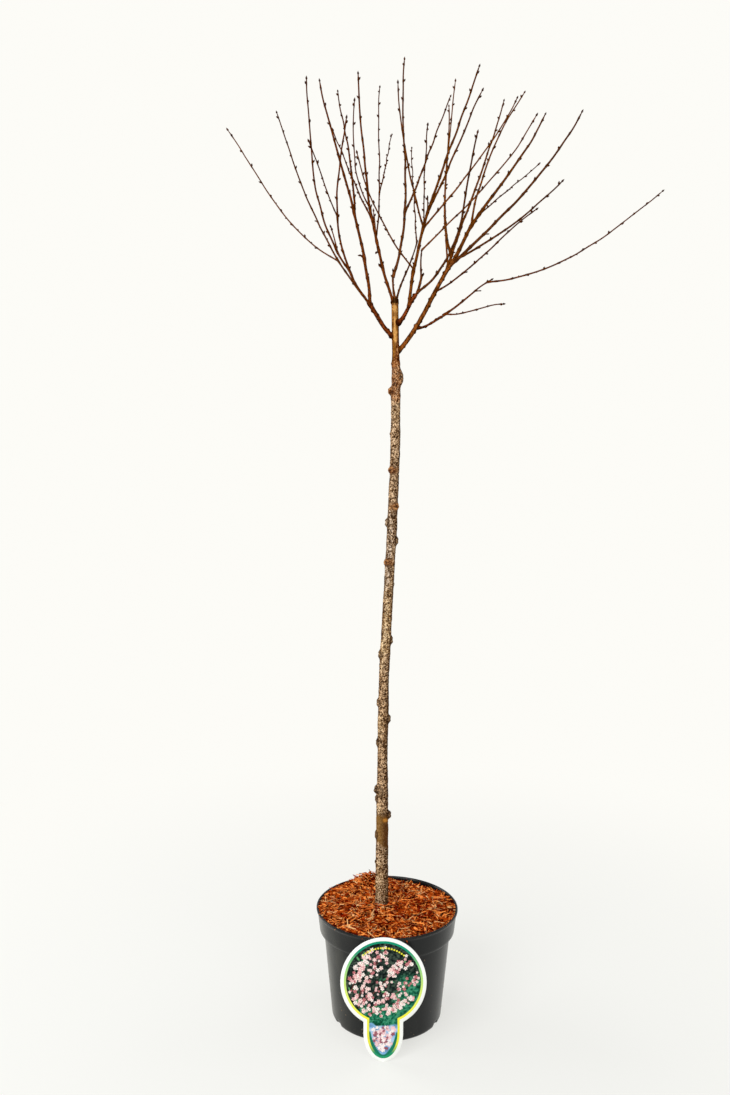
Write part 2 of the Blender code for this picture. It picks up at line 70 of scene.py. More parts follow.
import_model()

# Pot
POT_HEIGHT = 0.160
POT_RIM_RADIUS = 0.105
POT_FOOT_RADIUS = 0.081
POT_WALL = 0.002
POT_FLOOR = 0.003
FOOT_BEVEL = 0.003
LIP_HEIGHT = 0.003
LIP_WIDTH = 0.003
LIP_STEP = 0.0015
LIP_ROUND = 0.0006
COLLAR_HEIGHT = 0.034
COLLAR_STEP = 0.006
COLLAR_TAPER = 0.005
LEDGE_RISE = 0.002
NOTCH_COUNT = 6
NOTCH_RADIUS = 0.007
NOTCH_HEIGHT = 0.006
NOTCH_DEPTH = 0.0022
POT_COLUMNS = 288

# Bark mulch
MULCH_EDGE_DROP = 0.004
MULCH_EDGE_GAP = 0.0012
MULCH_CROWN = 0.007
MULCH_HEAP_HEIGHT = 0.011
MULCH_HEAP_PLACE = (-0.028, 0.088)
MULCH_HEAP_REACH = 0.024
MULCH_BANK = 0.0024
MULCH_OPEN_BEARING = math.radians(58)
MULCH_OPEN_REACH = 0.62

# Picture label
LABEL_LENGTH = 0.164
LABEL_HEAD_RADIUS = 0.059
LABEL_TAIL_HALF = 0.027
LABEL_TIP_LENGTH = 0.038
LABEL_THICKNESS = 0.001
LABEL_X = -0.007
LABEL_LEAN = math.radians(7.0)
GAP = 0.0003
PRINT_LIFT = 0.00004

# Trunk and graft
TRUNK_TOP = 0.960
TRUNK_FOOT_X = -0.008
TRUNK_TOP_X = 0.0082
LEAN_FROM = 0.400
LEAN_TO = 0.880
TRUNK_HEIGHTS = (0.115, 0.165, 0.250, 0.390, 0.880, 0.960)
TRUNK_RADII = (0.0100, 0.0094, 0.0090, 0.0075, 0.0069, 0.0061)
FRONT_LEFT = math.radians(232)
LEFT = math.radians(180)
RIGHT = math.radians(0)
FRONT_RIGHT = math.radians(-55)
Knot = namedtuple("Knot", "height bearing size tall")
KNOTS = (
    Knot(0.267, LEFT, 0.0018, 1.0),
    Knot(0.297, RIGHT, 0.0038, 1.0),
    Knot(0.333, FRONT_LEFT, 0.0022, 1.0),
    Knot(0.405, LEFT, 0.0020, 1.0),
    Knot(0.441, RIGHT, 0.0030, 1.0),
    Knot(0.465, LEFT, 0.0022, 1.0),
    Knot(0.537, LEFT, 0.0022, 1.0),
    Knot(0.558, RIGHT, 0.0025, 1.0),
    Knot(0.673, FRONT_LEFT, 0.0026, 1.0),
    Knot(0.704, RIGHT, 0.0025, 1.0),
    Knot(0.731, LEFT, 0.0030, 1.0),
    Knot(0.754, FRONT_RIGHT, 0.0020, 1.0),
    Knot(0.807, FRONT_LEFT, 0.0032, 1.0),
    Knot(0.922, LEFT, 0.0048, 1.0),
    Knot(0.941, RIGHT, 0.0048, 1.9),
)

# Limbs and shoots, by the part's own table and rule
Limb = namedtuple("Limb", "name parent leaves tip bends base_radius tip_radius")
Shoot = namedtuple("Shoot", "name parent leaves tip bends base_radius")
LEADER_TOP = (0.0060, 0.0, 1.054)
LEADER_RADII = (0.0053, 0.0050)
LIMBS = (
    Limb("left_bough", "leader", 0.40, (-0.034, -0.005, 1.050), (-0.008, 0.001), 0.0031, 0.0028),
    Limb("middle_bough", "leader", 0.60, (0.037, -0.020, 1.057), (0.008, -0.003), 0.0028, 0.0024),
    Limb("right_bough", "leader", 0.16, (0.094, 0.012, 1.116), (0.012, -0.004), 0.0034, 0.0027),
    Limb("low_right_bough", "right_bough", 0.28, (0.075, -0.006, 1.029), (0.006, 0.002), 0.0017, 0.0015),
)
LIMB_STEPS = 10
MASSES = {
    "left_inner_shoots": (
        Shoot("stem", "left_bough", 0.90, (-0.103, -0.020, 1.356), (0.018, -0.004), 0.0023),
        Shoot("back", "stem", 0.40, (-0.082, 0.120, 1.405), (0.010, 0.001), 0.0016),
        Shoot("spur", "stem", 0.20, (-0.045, -0.012, 1.114), (0.001, 0.000), 0.0011),
    ),
    "left_outer_shoots": (
        Shoot("stem", "left_bough", 1.00, (-0.174, 0.080, 1.355), (-0.027, -0.012), 0.0014),
        Shoot("far", "stem", 0.22, (-0.231, -0.040, 1.279), (-0.036, -0.008), 0.0010),
    ),
    "left_front_shoots": (
        Shoot("stem", "left_bough", 0.88, (-0.060, -0.170, 1.241), (-0.051, -0.027), 0.0016),
        Shoot("outer", "stem", 0.20, (-0.114, -0.120, 1.312), (-0.040, -0.014), 0.0014),
        Shoot("short", "outer", 0.12, (-0.086, -0.050, 1.144), (0.007, -0.002), 0.0009),
        Shoot("front", "stem", 0.50, (-0.106, -0.210, 1.195), (-0.005, 0.002), 0.0008),
    ),
    "top_left_shoots": (
        Shoot("stem", "leader", 0.87, (-0.048, -0.050, 1.352), (-0.022, -0.012), 0.0021),
        Shoot("upright", "stem", 0.30, (-0.016, 0.090, 1.398), (0.010, -0.005), 0.0011),
        Shoot("back", "upright", 0.30, (0.006, 0.200, 1.371), (0.002, -0.003), 0.0009),
        Shoot("far_back", "stem", 0.38, (-0.093, 0.170, 1.368), (-0.002, 0.001), 0.0012),
        Shoot("front", "stem", 0.43, (-0.051, -0.130, 1.280), (-0.021, -0.011), 0.0009),
        Shoot("stub", "stem", 0.30, (-0.026, -0.030, 1.173), (0.000, 0.000), 0.0012),
        Shoot("high_spur", "stem", 0.25, (-0.023, -0.019, 1.115), (-0.001, -0.001), 0.0011),
        Shoot("low_spur", "stem", 0.18, (-0.017, -0.015, 1.098), (-0.001, -0.001), 0.0011),
    ),
    "top_upright_shoots": (
        Shoot("stem", "leader", 1.00, (0.003, 0.000, 1.098), (-0.004, 0.000), 0.0018),
        Shoot("upright", "stem", 0.70, (0.018, 0.000, 1.396), (0.030, -0.005), 0.0019),
        Shoot("right", "upright", 0.30, (0.094, 0.100, 1.389), (0.003, -0.001), 0.0015),
    ),
    "top_back_shoots": (
        Shoot("stem", "leader", 0.90, (0.041, 0.045, 1.152), (-0.004, 0.002), 0.0016),
        Shoot("back", "stem", 0.95, (0.039, 0.210, 1.354), (0.001, -0.002), 0.0010),
    ),
    "middle_inner_shoots": (
        Shoot("stem", "middle_bough", 0.60, (0.121, -0.040, 1.367), (-0.024, -0.003), 0.0023),
        Shoot("left", "stem", 0.32, (0.004, -0.140, 1.298), (-0.008, -0.010), 0.0013),
        Shoot("front", "stem", 0.32, (0.039, -0.200, 1.219), (-0.004, -0.002), 0.0009),
        Shoot("front_right", "stem", 0.40, (0.115, -0.130, 1.293), (0.004, -0.002), 0.0015),
        Shoot("right", "stem", 0.32, (0.184, 0.020, 1.351), (0.005, 0.014), 0.0013),
        Shoot("crossing", "stem", 0.15, (-0.048, -0.180, 1.194), (-0.017, -0.016), 0.0011),
        Shoot("stub", "stem", 0.38, (0.049, -0.048, 1.185), (0.001, 0.000), 0.0010),
    ),
    "middle_outer_shoots": (
        Shoot("stem", "middle_bough", 1.00, (0.041, -0.060, 1.109), (0.008, -0.001), 0.0016),
        Shoot("right", "stem", 0.96, (0.187, -0.120, 1.266), (0.007, 0.019), 0.0011),
        Shoot("front", "stem", 0.03, (0.100, -0.200, 1.211), (0.049, 0.006), 0.0017),
        Shoot("stub", "stem", 0.25, (0.045, -0.036, 1.082), (-0.001, 0.001), 0.0010),
    ),
    "right_inner_shoots": (
        Shoot("stem", "right_bough", 0.83, (0.179, 0.120, 1.392), (-0.001, 0.006), 0.0020),
        Shoot("back", "stem", 0.10, (0.094, 0.140, 1.392), (-0.018, 0.004), 0.0018),
        Shoot("upright", "stem", 0.05, (0.094, 0.030, 1.380), (-0.016, -0.005), 0.0013),
    ),
    "right_outer_shoots": (
        Shoot("stem", "right_bough", 1.00, (0.231, 0.050, 1.341), (-0.015, 0.013), 0.0026),
        Shoot("back", "stem", 0.28, (0.250, 0.190, 1.321), (-0.004, -0.001), 0.0010),
        Shoot("upright", "stem", 0.20, (0.205, 0.080, 1.386), (-0.018, -0.016), 0.0015),
    ),
    "right_front_shoots": (
        Shoot("stem", "right_bough", 0.92, (0.260, -0.060, 1.297), (0.012, 0.023), 0.0022),
        Shoot("front", "stem", 0.05, (0.218, -0.140, 1.174), (0.011, 0.012), 0.0016),
    ),
    "right_low_shoots": (
        Shoot("stem", "right_bough", 0.65, (0.180, -0.170, 1.128), (0.014, -0.003), 0.0013),
    ),
    "low_right_shoots": (
        Shoot("stem", "low_right_bough", 1.00, (0.147, -0.012, 1.081), (0.002, -0.004), 0.0016),
        Shoot("whip", "stem", 0.88, (0.399, 0.020, 1.218), (0.040, 0.020), 0.0012),
        Shoot("front", "stem", 0.04, (0.151, -0.100, 1.025), (0.010, -0.004), 0.0010),
    ),
}
DEPTH_BEND = 0.08
THINNEST_RADIUS = 0.00045
TAPER = 0.22
POINT_RADIUS = 0.0003
NODE_SPACING = 0.024
FEWEST_LINE_STEPS = 6
NODE_SPREAD = 0.15
KINK = 0.0008
BUD_TURN = math.radians(144)
BUD_ANGLE = math.radians(38)
BUD_LENGTH = 0.0048
BUD_CLEARANCE = 0.004
SPUR_CHANCE = 0.30
SPUR_REGION = 0.40
SPUR_LENGTH = (0.007, 0.011)
SPUR_CLEARANCE = 0.008


# Finer growth than the solids have
BARK_THICKNESS = 0.00008
KNOT_SWELLING = 1.45
PATH_STEPS = 8
NODE_SWELLING = 0.30
NODE_SWELLING_REACH = 0.0024
FORK_SWELLING = 0.42
FORK_REACH = 0.0045
HALF_WAY_BUDS = 0.55
KNOT_REACH = 0.0056
SCAR_REACH = 0.0024
KNOB_SPACING = 0.0088
KNOB_RISE = 0.0015
LEADER_KNOB_RISE = 0.0007
KNOB_REACH = 0.0020

# Bark is painted paler on the side that faces forwards, as a painted highlight, and darker on both flanks, as painted
# shade
LIT_SIDE = np.array([-0.12, -0.99, 0.0])
LIT_REACH = 0.60
SHADED_FLANK_REACH = 0.60
SHOOT_PAINTED_LIGHT = 1.7
NODE_DARKNESS = 1.3
BUD_OUTSET = 0.55

# Bark of the masses' shoots: darker and paler copies of each colour, which carry the bark's own tone and also painted
# highlight and painted shade
SHOOT_DEPTHS = (1.9, 1.35, 1.0, 0.72, 0.50, 0.34)
SHOOT_BARKS = {
    "right_inner_shoots": "ochre",
    "right_outer_shoots": "ochre",
    "middle_inner_shoots": "ochre",
    "top_back_shoots": "dusky",
    "top_upright_shoots": "dusky",
    "left_outer_shoots": "dusky",
    "right_front_shoots": "dusky",
    "middle_outer_shoots": "dusky",
}


# Arrays and meshes


Surface = namedtuple("Surface", "points quads triangles")


def unit(vectors):
    return vectors / np.linalg.norm(vectors, axis=-1, keepdims=True)


def smoothstep(share):
    share = np.clip(share, 0.0, 1.0)
    return share * share * (3 - 2 * share)


def closed_grid(rings, low_pole=True, high_pole=True):
    """A surface over a grid of rings, joined round each ring and closed by a pole at either end. Each
    pole is the mean of its ring. The faces are turned so that the enclosed volume is positive."""
    count, columns = rings.shape[:2]
    row, column = np.meshgrid(np.arange(count - 1), np.arange(columns), indexing="ij")
    after = (column + 1) % columns
    corners = (row * columns + column, row * columns + after, (row + 1) * columns + after)
    quads = np.stack([*corners, (row + 1) * columns + column], axis=-1).reshape(-1, 4)
    points = rings.reshape(-1, 3)
    around = np.arange(columns)
    following = (around + 1) % columns
    triangles = []
    if low_pole:
        pole = np.full(columns, len(points))
        points = np.vstack([points, rings[0].mean(axis=0)])
        triangles.append(np.stack([pole, following, around], axis=-1))
    if high_pole:
        pole = np.full(columns, len(points))
        points = np.vstack([points, rings[-1].mean(axis=0)])
        last = (count - 1) * columns
        triangles.append(np.stack([pole, last + around, last + following], axis=-1))
    triangles = np.vstack(triangles) if triangles else np.empty((0, 3), int)
    surface = Surface(points, quads, triangles)
    return surface if enclosed_volume(surface) > 0 else turned_over(surface)


def enclosed_volume(surface):
    """A sixth of the sum, over the triangles, of each one's triple product."""
    halves = [surface.quads[:, [0, 1, 2]], surface.quads[:, [0, 2, 3]], surface.triangles]
    a, b, c = (surface.points[np.vstack(halves)[:, corner]] for corner in range(3))
    return (a * np.cross(b, c)).sum() / 6


def turned_over(surface):
    return Surface(surface.points, surface.quads[:, ::-1], surface.triangles[:, ::-1])


def joined(surfaces):
    """One surface from several, each one's corner numbers moved up by the points before it."""
    firsts = np.cumsum([0, *(len(surface.points) for surface in surfaces)])
    return Surface(
        np.vstack([surface.points for surface in surfaces]),
        np.vstack([surface.quads + first for surface, first in zip(surfaces, firsts)]),
        np.vstack([surface.triangles + first for surface, first in zip(surfaces, firsts)]),
    )


def copies(template, origins, frames, sizes):
    """A joined array of one small surface: each copy's points are the template's, times its sizes
    along its own three axes, turned by its frame and moved to its origin."""
    scaled = template.points[None] * sizes[:, None, :]
    points = np.einsum("nij,npj->npi", frames, scaled) + origins[:, None, :]
    firsts = (np.arange(len(origins)) * len(template.points))[:, None, None]
    return Surface(
        points.reshape(-1, 3),
        (template.quads[None] + firsts).reshape(-1, 4),
        (template.triangles[None] + firsts).reshape(-1, 3),
    )


def frames_along(directions, spins=0.0):
    """Turning matrices whose third axis is each direction, spun about it by the given angle."""
    level = np.abs(directions[:, 2:3]) > 0.95
    reference = np.where(level, np.array([[1.0, 0.0, 0.0]]), np.array([[0.0, 0.0, 1.0]]))
    first = unit(np.cross(reference, directions))
    second = np.cross(directions, first)
    cosine, sine = np.cos(spins), np.sin(spins)
    cosine, sine = (np.broadcast_to(value, len(directions))[:, None] for value in (cosine, sine))
    columns = (first * cosine + second * sine, second * cosine - first * sine, directions)
    return np.stack(columns, axis=-1)


def tube_rings(line, radii, sides):
    """Circles of the given radii, each square to the line where it stands."""
    along = unit(np.gradient(line, axis=0))
    reference = np.eye(3)[np.argmin(np.abs(line[-1] - line[0]))]
    across = unit(np.cross(along, reference))
    upwards = np.cross(along, across)
    angles = 2 * math.pi * np.arange(sides) / sides
    circle = np.cos(angles)[None, :, None] * across[:, None] + np.sin(angles)[None, :, None] * upwards[:, None]
    return line[:, None] + radii[:, None, None] * circle


def graded(level, stops, colours):
    """The colour at each level, blended evenly between the stops on either side of it."""
    channels = [np.interp(level, stops, [colour[channel] for colour in colours]) for channel in range(3)]
    return np.stack(channels, axis=-1)


def blended(tone, share, colour):
    """The tones moved towards one colour by a share."""
    return tone + (np.array(colour) - tone) * share[..., None]


def painted_front_light(outwards):
    """Painted light on bark where it faces a direction: a painted highlight by a bell curve of the angle from the lit
    side, less painted shade by one round the flanks, a quarter turn away."""
    turn = np.arccos(np.clip(outwards @ LIT_SIDE, -1, 1))
    pale = np.exp(-((turn / LIT_REACH) ** 2))
    return 0.35 * pale - np.exp(-(((turn - math.pi / 2) / SHADED_FLANK_REACH) ** 2))


def bark_noise(places, across, along, seed):
    """Soft noise whose patches are as wide and as tall as given, on upright bark."""
    return soft_noise(places / np.array([across, across, along]) + 7.3, seed)


def soft_noise(places, seed):
    """Smooth noise from -1 to 1. Each whole-numbered place has a random value, and a point between
    them takes a blend of the eight round it, eased along each axis by a smoothstep."""
    values = np.random.default_rng(seed).uniform(-1, 1, (32, 32, 32))
    cell = np.floor(places).astype(int)
    share = smoothstep(places - cell)
    total = 0.0
    for corner in np.ndindex(2, 2, 2):
        index = (cell + corner) % 32
        weight = np.where(np.array(corner) == 1, share, 1 - share).prod(axis=-1)
        total = total + weight * values[index[..., 0], index[..., 1], index[..., 2]]
    return total


def add_piece(name, surface, materials, smooth=True, kinds=None):
    """Puts a surface into a mesh object at the origin, with a material number for each face."""
    mesh = bpy.data.meshes.new(name)
    quads, triangles = len(surface.quads), len(surface.triangles)
    corners = np.concatenate([surface.quads.ravel(), surface.triangles.ravel()]).astype(np.int32)
    starts = np.concatenate([4 * np.arange(quads), 4 * quads + 3 * np.arange(triangles)])
    mesh.vertices.add(len(surface.points))
    mesh.vertices.foreach_set("co", surface.points.astype(np.float32).ravel())
    mesh.loops.add(len(corners))
    mesh.loops.foreach_set("vertex_index", corners)
    mesh.polygons.add(quads + triangles)
    mesh.polygons.foreach_set("loop_start", starts.astype(np.int32))
    if kinds is not None:
        mesh.polygons.foreach_set("material_index", kinds.astype(np.int32))
    mesh.update(calc_edges=True)
    mesh.validate()
    mesh.shade_smooth() if smooth else mesh.shade_flat()
    for material in materials:
        mesh.materials.append(material)
    piece = bpy.data.objects.new(name, mesh)
    bpy.context.scene.collection.objects.link(piece)
    return piece


def keep(piece, slot, *nodes):
    """The piece rides on the plant's one body and stands for CAD nodes, which are hidden. The slot is not used."""
    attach(piece, "root")
    if nodes:
        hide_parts(*nodes)


def paint(piece, name, colours):
    """Stores a colour for each point of the piece, which its material reads by name. A fourth value
    is the share of the material's flecks there."""
    layer = piece.data.color_attributes.new(name, "FLOAT_COLOR", "POINT")
    padded = np.ones((len(colours), 4), np.float32)
    padded[:, :colours.shape[1]] = colours
    layer.data.foreach_set("color", padded.ravel())


# Materials


def plain_material(name, colour, roughness, specular=0.5):
    made = bpy.data.materials.new(name)
    made.use_nodes = True
    shader = made.node_tree.nodes["Principled BSDF"]
    shader.inputs["Base Color"].default_value = (*colour, 1.0)
    shader.inputs["Roughness"].default_value = roughness
    shader.inputs["Specular IOR Level"].default_value = specular
    return made


def mottle_group():
    """A node group that flecks a colour by noise on the piece's own coordinates: dark where the
    noise is low, pale where it is high. The noise is also put out as a height for a bump."""
    found = bpy.data.node_groups.get("Mottle")
    if found:
        return found
    group = bpy.data.node_groups.new("Mottle", "ShaderNodeTree")
    for name, kind in (("Vector", "NodeSocketVector"), ("Colour", "NodeSocketColor"),
                       ("Dark Colour", "NodeSocketColor"), ("Pale Colour", "NodeSocketColor"),
                       ("Scale", "NodeSocketFloat"), ("Dark Amount", "NodeSocketFloat"),
                       ("Pale Amount", "NodeSocketFloat"), ("Share", "NodeSocketFloat")):
        group.interface.new_socket(name=name, in_out="INPUT", socket_type=kind)
    for name, kind in (("Colour", "NodeSocketColor"), ("Height", "NodeSocketFloat")):
        group.interface.new_socket(name=name, in_out="OUTPUT", socket_type=kind)
    nodes, links = group.nodes, group.links
    inside, outside = nodes.new("NodeGroupInput"), nodes.new("NodeGroupOutput")
    noise = nodes.new("ShaderNodeTexNoise")
    noise.inputs["Detail"].default_value = 2.5
    links.new(inside.outputs["Vector"], noise.inputs["Vector"])
    links.new(inside.outputs["Scale"], noise.inputs["Scale"])
    colour = inside.outputs["Colour"]
    for kind, low, high in (("Dark", 0.52, 0.38), ("Pale", 0.53, 0.66)):
        steep = nodes.new("ShaderNodeMapRange")
        steep.inputs["From Min"].default_value = low
        steep.inputs["From Max"].default_value = high
        links.new(noise.outputs["Fac"], steep.inputs["Value"])
        share = steep.outputs["Result"]
        for source in (kind + " Amount", "Share"):
            scaled = nodes.new("ShaderNodeMath")
            scaled.operation = "MULTIPLY"
            links.new(share, scaled.inputs[0])
            links.new(inside.outputs[source], scaled.inputs[1])
            share = scaled.outputs[0]
        mix = nodes.new("ShaderNodeMix")
        mix.data_type = "RGBA"
        links.new(share, mix.inputs["Factor"])
        links.new(colour, mix.inputs["A"])
        links.new(inside.outputs[kind + " Colour"], mix.inputs["B"])
        colour = mix.outputs["Result"]
    links.new(colour, outside.inputs["Colour"])
    links.new(noise.outputs["Fac"], outside.inputs["Height"])
    return group


def mottled_material(name, colour, dark, pale, scale, roughness, bump, specular=0.0, stretch=(1, 1, 1), attribute=""):
    """A Principled material whose colour is flecked by the Mottle group on Object coordinates, with
    the flecks as a low bump. Dark and pale are each a colour and its share. An attribute of the
    piece takes the place of the plain colour."""
    made = plain_material(name, colour, roughness, specular)
    nodes, links = made.node_tree.nodes, made.node_tree.links
    shader = nodes["Principled BSDF"]
    place = nodes.new("ShaderNodeTexCoord")
    mapping = nodes.new("ShaderNodeMapping")
    mapping.inputs["Scale"].default_value = stretch
    mottle = nodes.new("ShaderNodeGroup")
    mottle.node_tree = mottle_group()
    mottle.inputs["Colour"].default_value = (*colour, 1.0)
    mottle.inputs["Scale"].default_value = scale
    mottle.inputs["Share"].default_value = 1.0
    for kind, (fleck, amount) in (("Dark", dark), ("Pale", pale)):
        mottle.inputs[kind + " Colour"].default_value = (*fleck, 1.0)
        mottle.inputs[kind + " Amount"].default_value = amount
    relief = nodes.new("ShaderNodeBump")
    relief.inputs["Distance"].default_value = bump
    links.new(place.outputs["Object"], mapping.inputs["Vector"])
    links.new(mapping.outputs["Vector"], mottle.inputs["Vector"])
    links.new(mottle.outputs["Colour"], shader.inputs["Base Color"])
    links.new(mottle.outputs["Height"], relief.inputs["Height"])
    links.new(relief.outputs["Normal"], shader.inputs["Normal"])
    if attribute:
        tone = nodes.new("ShaderNodeAttribute")
        tone.attribute_name = attribute
        links.new(tone.outputs["Color"], mottle.inputs["Colour"])
        links.new(tone.outputs["Alpha"], mottle.inputs["Share"])
    return made


# Growth, by the part's rule


def bent_line(start, tip, bends, steps):
    """Points on a cubic curve from start to tip. Its two control points stand a third and two thirds
    of the way along, each moved to the right by its bend and outwards in depth by a fixed share."""
    chord = tip - start
    side = unit(np.array([chord[2], 0.0, -chord[0]]))
    deeper = np.array([0.0, DEPTH_BEND * chord[1], 0.0])
    low = start + chord / 3 + side * bends[0] + deeper
    high = start + chord * 2 / 3 + side * bends[1] + deeper
    t = np.linspace(0, 1, steps + 1)[:, None]
    outer = start * (1 - t) ** 3 + tip * t**3
    return outer + low * (3 * t * (1 - t) ** 2) + high * (3 * t * t * (1 - t))


def point_at(line, share):
    """The point at a share of the line's steps."""
    place = min(share, 1.0) * (len(line) - 1)
    index = min(int(place), len(line) - 2)
    return line[index] + (line[index + 1] - line[index]) * (place - index)


def line_length(line):
    return float(np.linalg.norm(np.diff(line, axis=0), axis=1).sum())


def flowing(points, steps):
    """A smooth line through the points: on each span, the cubic whose slopes at its ends are half
    the step between the points on either side."""
    padded = np.vstack([2 * points[0] - points[1], points, 2 * points[-1] - points[-2]])
    a, b, c, d = padded[:-3], padded[1:-2], padded[2:-1], padded[3:]
    t = (np.arange(steps) / steps)[None, :, None]
    a, b, c, d = (side[:, None] for side in (a, b, c, d))
    cubic = b + 0.5 * t * (c - a + t * (2 * a - 5 * b + 4 * c - d + t * (3 * (b - c) + d - a)))
    return np.vstack([cubic.reshape(-1, 3), points[-1]])


def trunk_x(height):
    return TRUNK_FOOT_X + (TRUNK_TOP_X - TRUNK_FOOT_X) * smoothstep((height - LEAN_FROM) / (LEAN_TO - LEAN_FROM))


def limb_lines():
    """Each limb's line and radii by name: the leader, then the boughs from their parents' lines."""
    start = np.array([float(trunk_x(TRUNK_TOP)), 0.0, TRUNK_TOP + GAP])
    lines = {"leader": (bent_line(start, np.array(LEADER_TOP), (0.0, 0.0), LIMB_STEPS), LEADER_RADII)}
    for limb in LIMBS:
        start = point_at(lines[limb.parent][0], limb.leaves)
        line = bent_line(start, np.array(limb.tip), limb.bends, LIMB_STEPS)
        lines[limb.name] = (line, (limb.base_radius, limb.tip_radius))
    return lines


def crown_lines(limbs):
    """The middle line of every shoot, by mass and by name, each from its parent's line."""
    crown = {}
    for mass, shoots in MASSES.items():
        lines = {}
        for shoot in shoots:
            parent = lines[shoot.parent] if shoot.parent in lines else limbs[shoot.parent][0]
            start = point_at(parent, shoot.leaves)
            tip = np.array(shoot.tip)
            steps = max(FEWEST_LINE_STEPS, 2 * round(float(np.linalg.norm(tip - start)) / NODE_SPACING))
            lines[shoot.name] = bent_line(start, tip, shoot.bends, steps)
        crown[mass] = lines
    return crown


def shoot_points(line, chance):
    """Points along a shoot, unevenly spaced and each moved aside by a kink, with its two ends."""
    count = max(2, round(line_length(line) / NODE_SPACING))
    points = [line[0]]
    for index in range(1, count):
        share = (index + chance.uniform(-NODE_SPREAD, NODE_SPREAD)) / count
        kink = np.array([chance.uniform(-1, 1), chance.uniform(-1, 1), 0.0]) * KINK
        points.append(point_at(line, share) + kink)
    return np.array([*points, line[-1]])


def places_near(own, limbs, crown):
    """Points along every limb and along every shoot but the one named, and the radius at each."""
    points, radii = [], []
    for line, (base, tip) in limbs.values():
        points.append(line)
        radii.append(np.linspace(base, tip, len(line)))
    for mass, lines in crown.items():
        for name, line in lines.items():
            if (mass, name) != own:
                points.append(line)
                radii.append(np.zeros(len(line)))
    return np.vstack(points), np.concatenate(radii)


Bud = namedtuple("Bud", "place direction length")


def bud_rows(points, near, stem, chance):
    """Buds wound up the shoot, one between each two of its points, and spurs low on a stem. One that
    would come near a limb or another shoot is skipped."""
    others, radii = near
    turn = chance.uniform(0, 2 * math.pi)
    rows = []
    for index, (low, high) in enumerate(zip(points[1:], points[2:])):
        turn += BUD_TURN
        along = unit(high - low)
        across = np.array([math.cos(turn), math.sin(turn), 0.0])
        across = unit(across - along * (across @ along))
        direction = across * math.sin(BUD_ANGLE) + along * math.cos(BUD_ANGLE)
        length, room = BUD_LENGTH, BUD_CLEARANCE
        if stem and index < SPUR_REGION * len(points) and chance.random() < SPUR_CHANCE:
            length, room = chance.uniform(*SPUR_LENGTH), SPUR_CLEARANCE
        tip = (low + high) / 2 + direction * length
        if (np.linalg.norm(others - tip, axis=1) - radii).min() > room:
            rows.append(Bud((low + high) / 2, direction, length))
    return rows


# Small shapes that are repeated


def bud_shape():
    """A pointed ovoid from 0 to 1 along its axis, with three ridges where its scales overlap."""
    heights = np.array([0.0, 0.18, 0.38, 0.60, 0.82])
    radii = np.array([0.62, 0.95, 1.0, 0.78, 0.38])
    angles = 2 * math.pi * np.arange(8) / 8
    ridged = radii[:, None] * (1 + 0.10 * np.cos(3 * angles[None] + 9 * heights[:, None]))
    tall = np.broadcast_to(heights[:, None], ridged.shape)
    rings = np.stack([ridged * np.cos(angles), ridged * np.sin(angles), tall], axis=-1)
    surface = closed_grid(rings)
    surface.points[-1, 2] = 1.0
    return surface


def sliver_shape(bend):
    """A thin strip from -0.5 to 0.5 along its axis: four-sided rings that narrow at both ends, on a
    middle line that rises by a parabola of the given bend."""
    along = np.linspace(-0.5, 0.5, 6)
    width = 0.5 * np.sqrt(np.clip(1 - (1.7 * along) ** 4, 0.12, 1))
    corners = np.array([[1.0, 0.5], [-1.0, 0.35], [-0.8, -0.5], [1.0, -0.4]])
    rings = np.empty((6, 4, 3))
    rings[..., 0] = width[:, None] * corners[None, :, 0]
    rings[..., 1] = width[:, None] * corners[None, :, 1] - bend * (4 * along**2)[:, None]
    rings[..., 2] = along[:, None]
    return closed_grid(rings)


def pad_shape():
    """A low oval dome, flat below, for a pore of the bark."""
    angles = 2 * math.pi * np.arange(6) / 6
    heights = np.array([0.0, 0.7])
    radii = np.array([1.0, 0.6])
    rings = np.stack([
        radii[:, None] * np.cos(angles), radii[:, None] * np.sin(angles),
        np.broadcast_to(heights[:, None], (2, 6)),
    ], axis=-1)
    return closed_grid(rings)


# Pot


def pot_radius(height):
    """The outer radius of the wall below the collar, which widens evenly with height."""
    top = POT_RIM_RADIUS - COLLAR_TAPER - COLLAR_STEP
    return POT_FOOT_RADIUS + (top - POT_FOOT_RADIUS) * height / (POT_HEIGHT - COLLAR_HEIGHT)


def densified(profile, step):
    """Points along a profile of straight runs, no further apart than the step."""
    parts = []
    for low, high in zip(profile, profile[1:]):
        count = max(1, math.ceil(math.dist(low, high) / step))
        parts.append(np.linspace(low, high, count, endpoint=False))
    return np.vstack([*parts, [profile[-1]]])


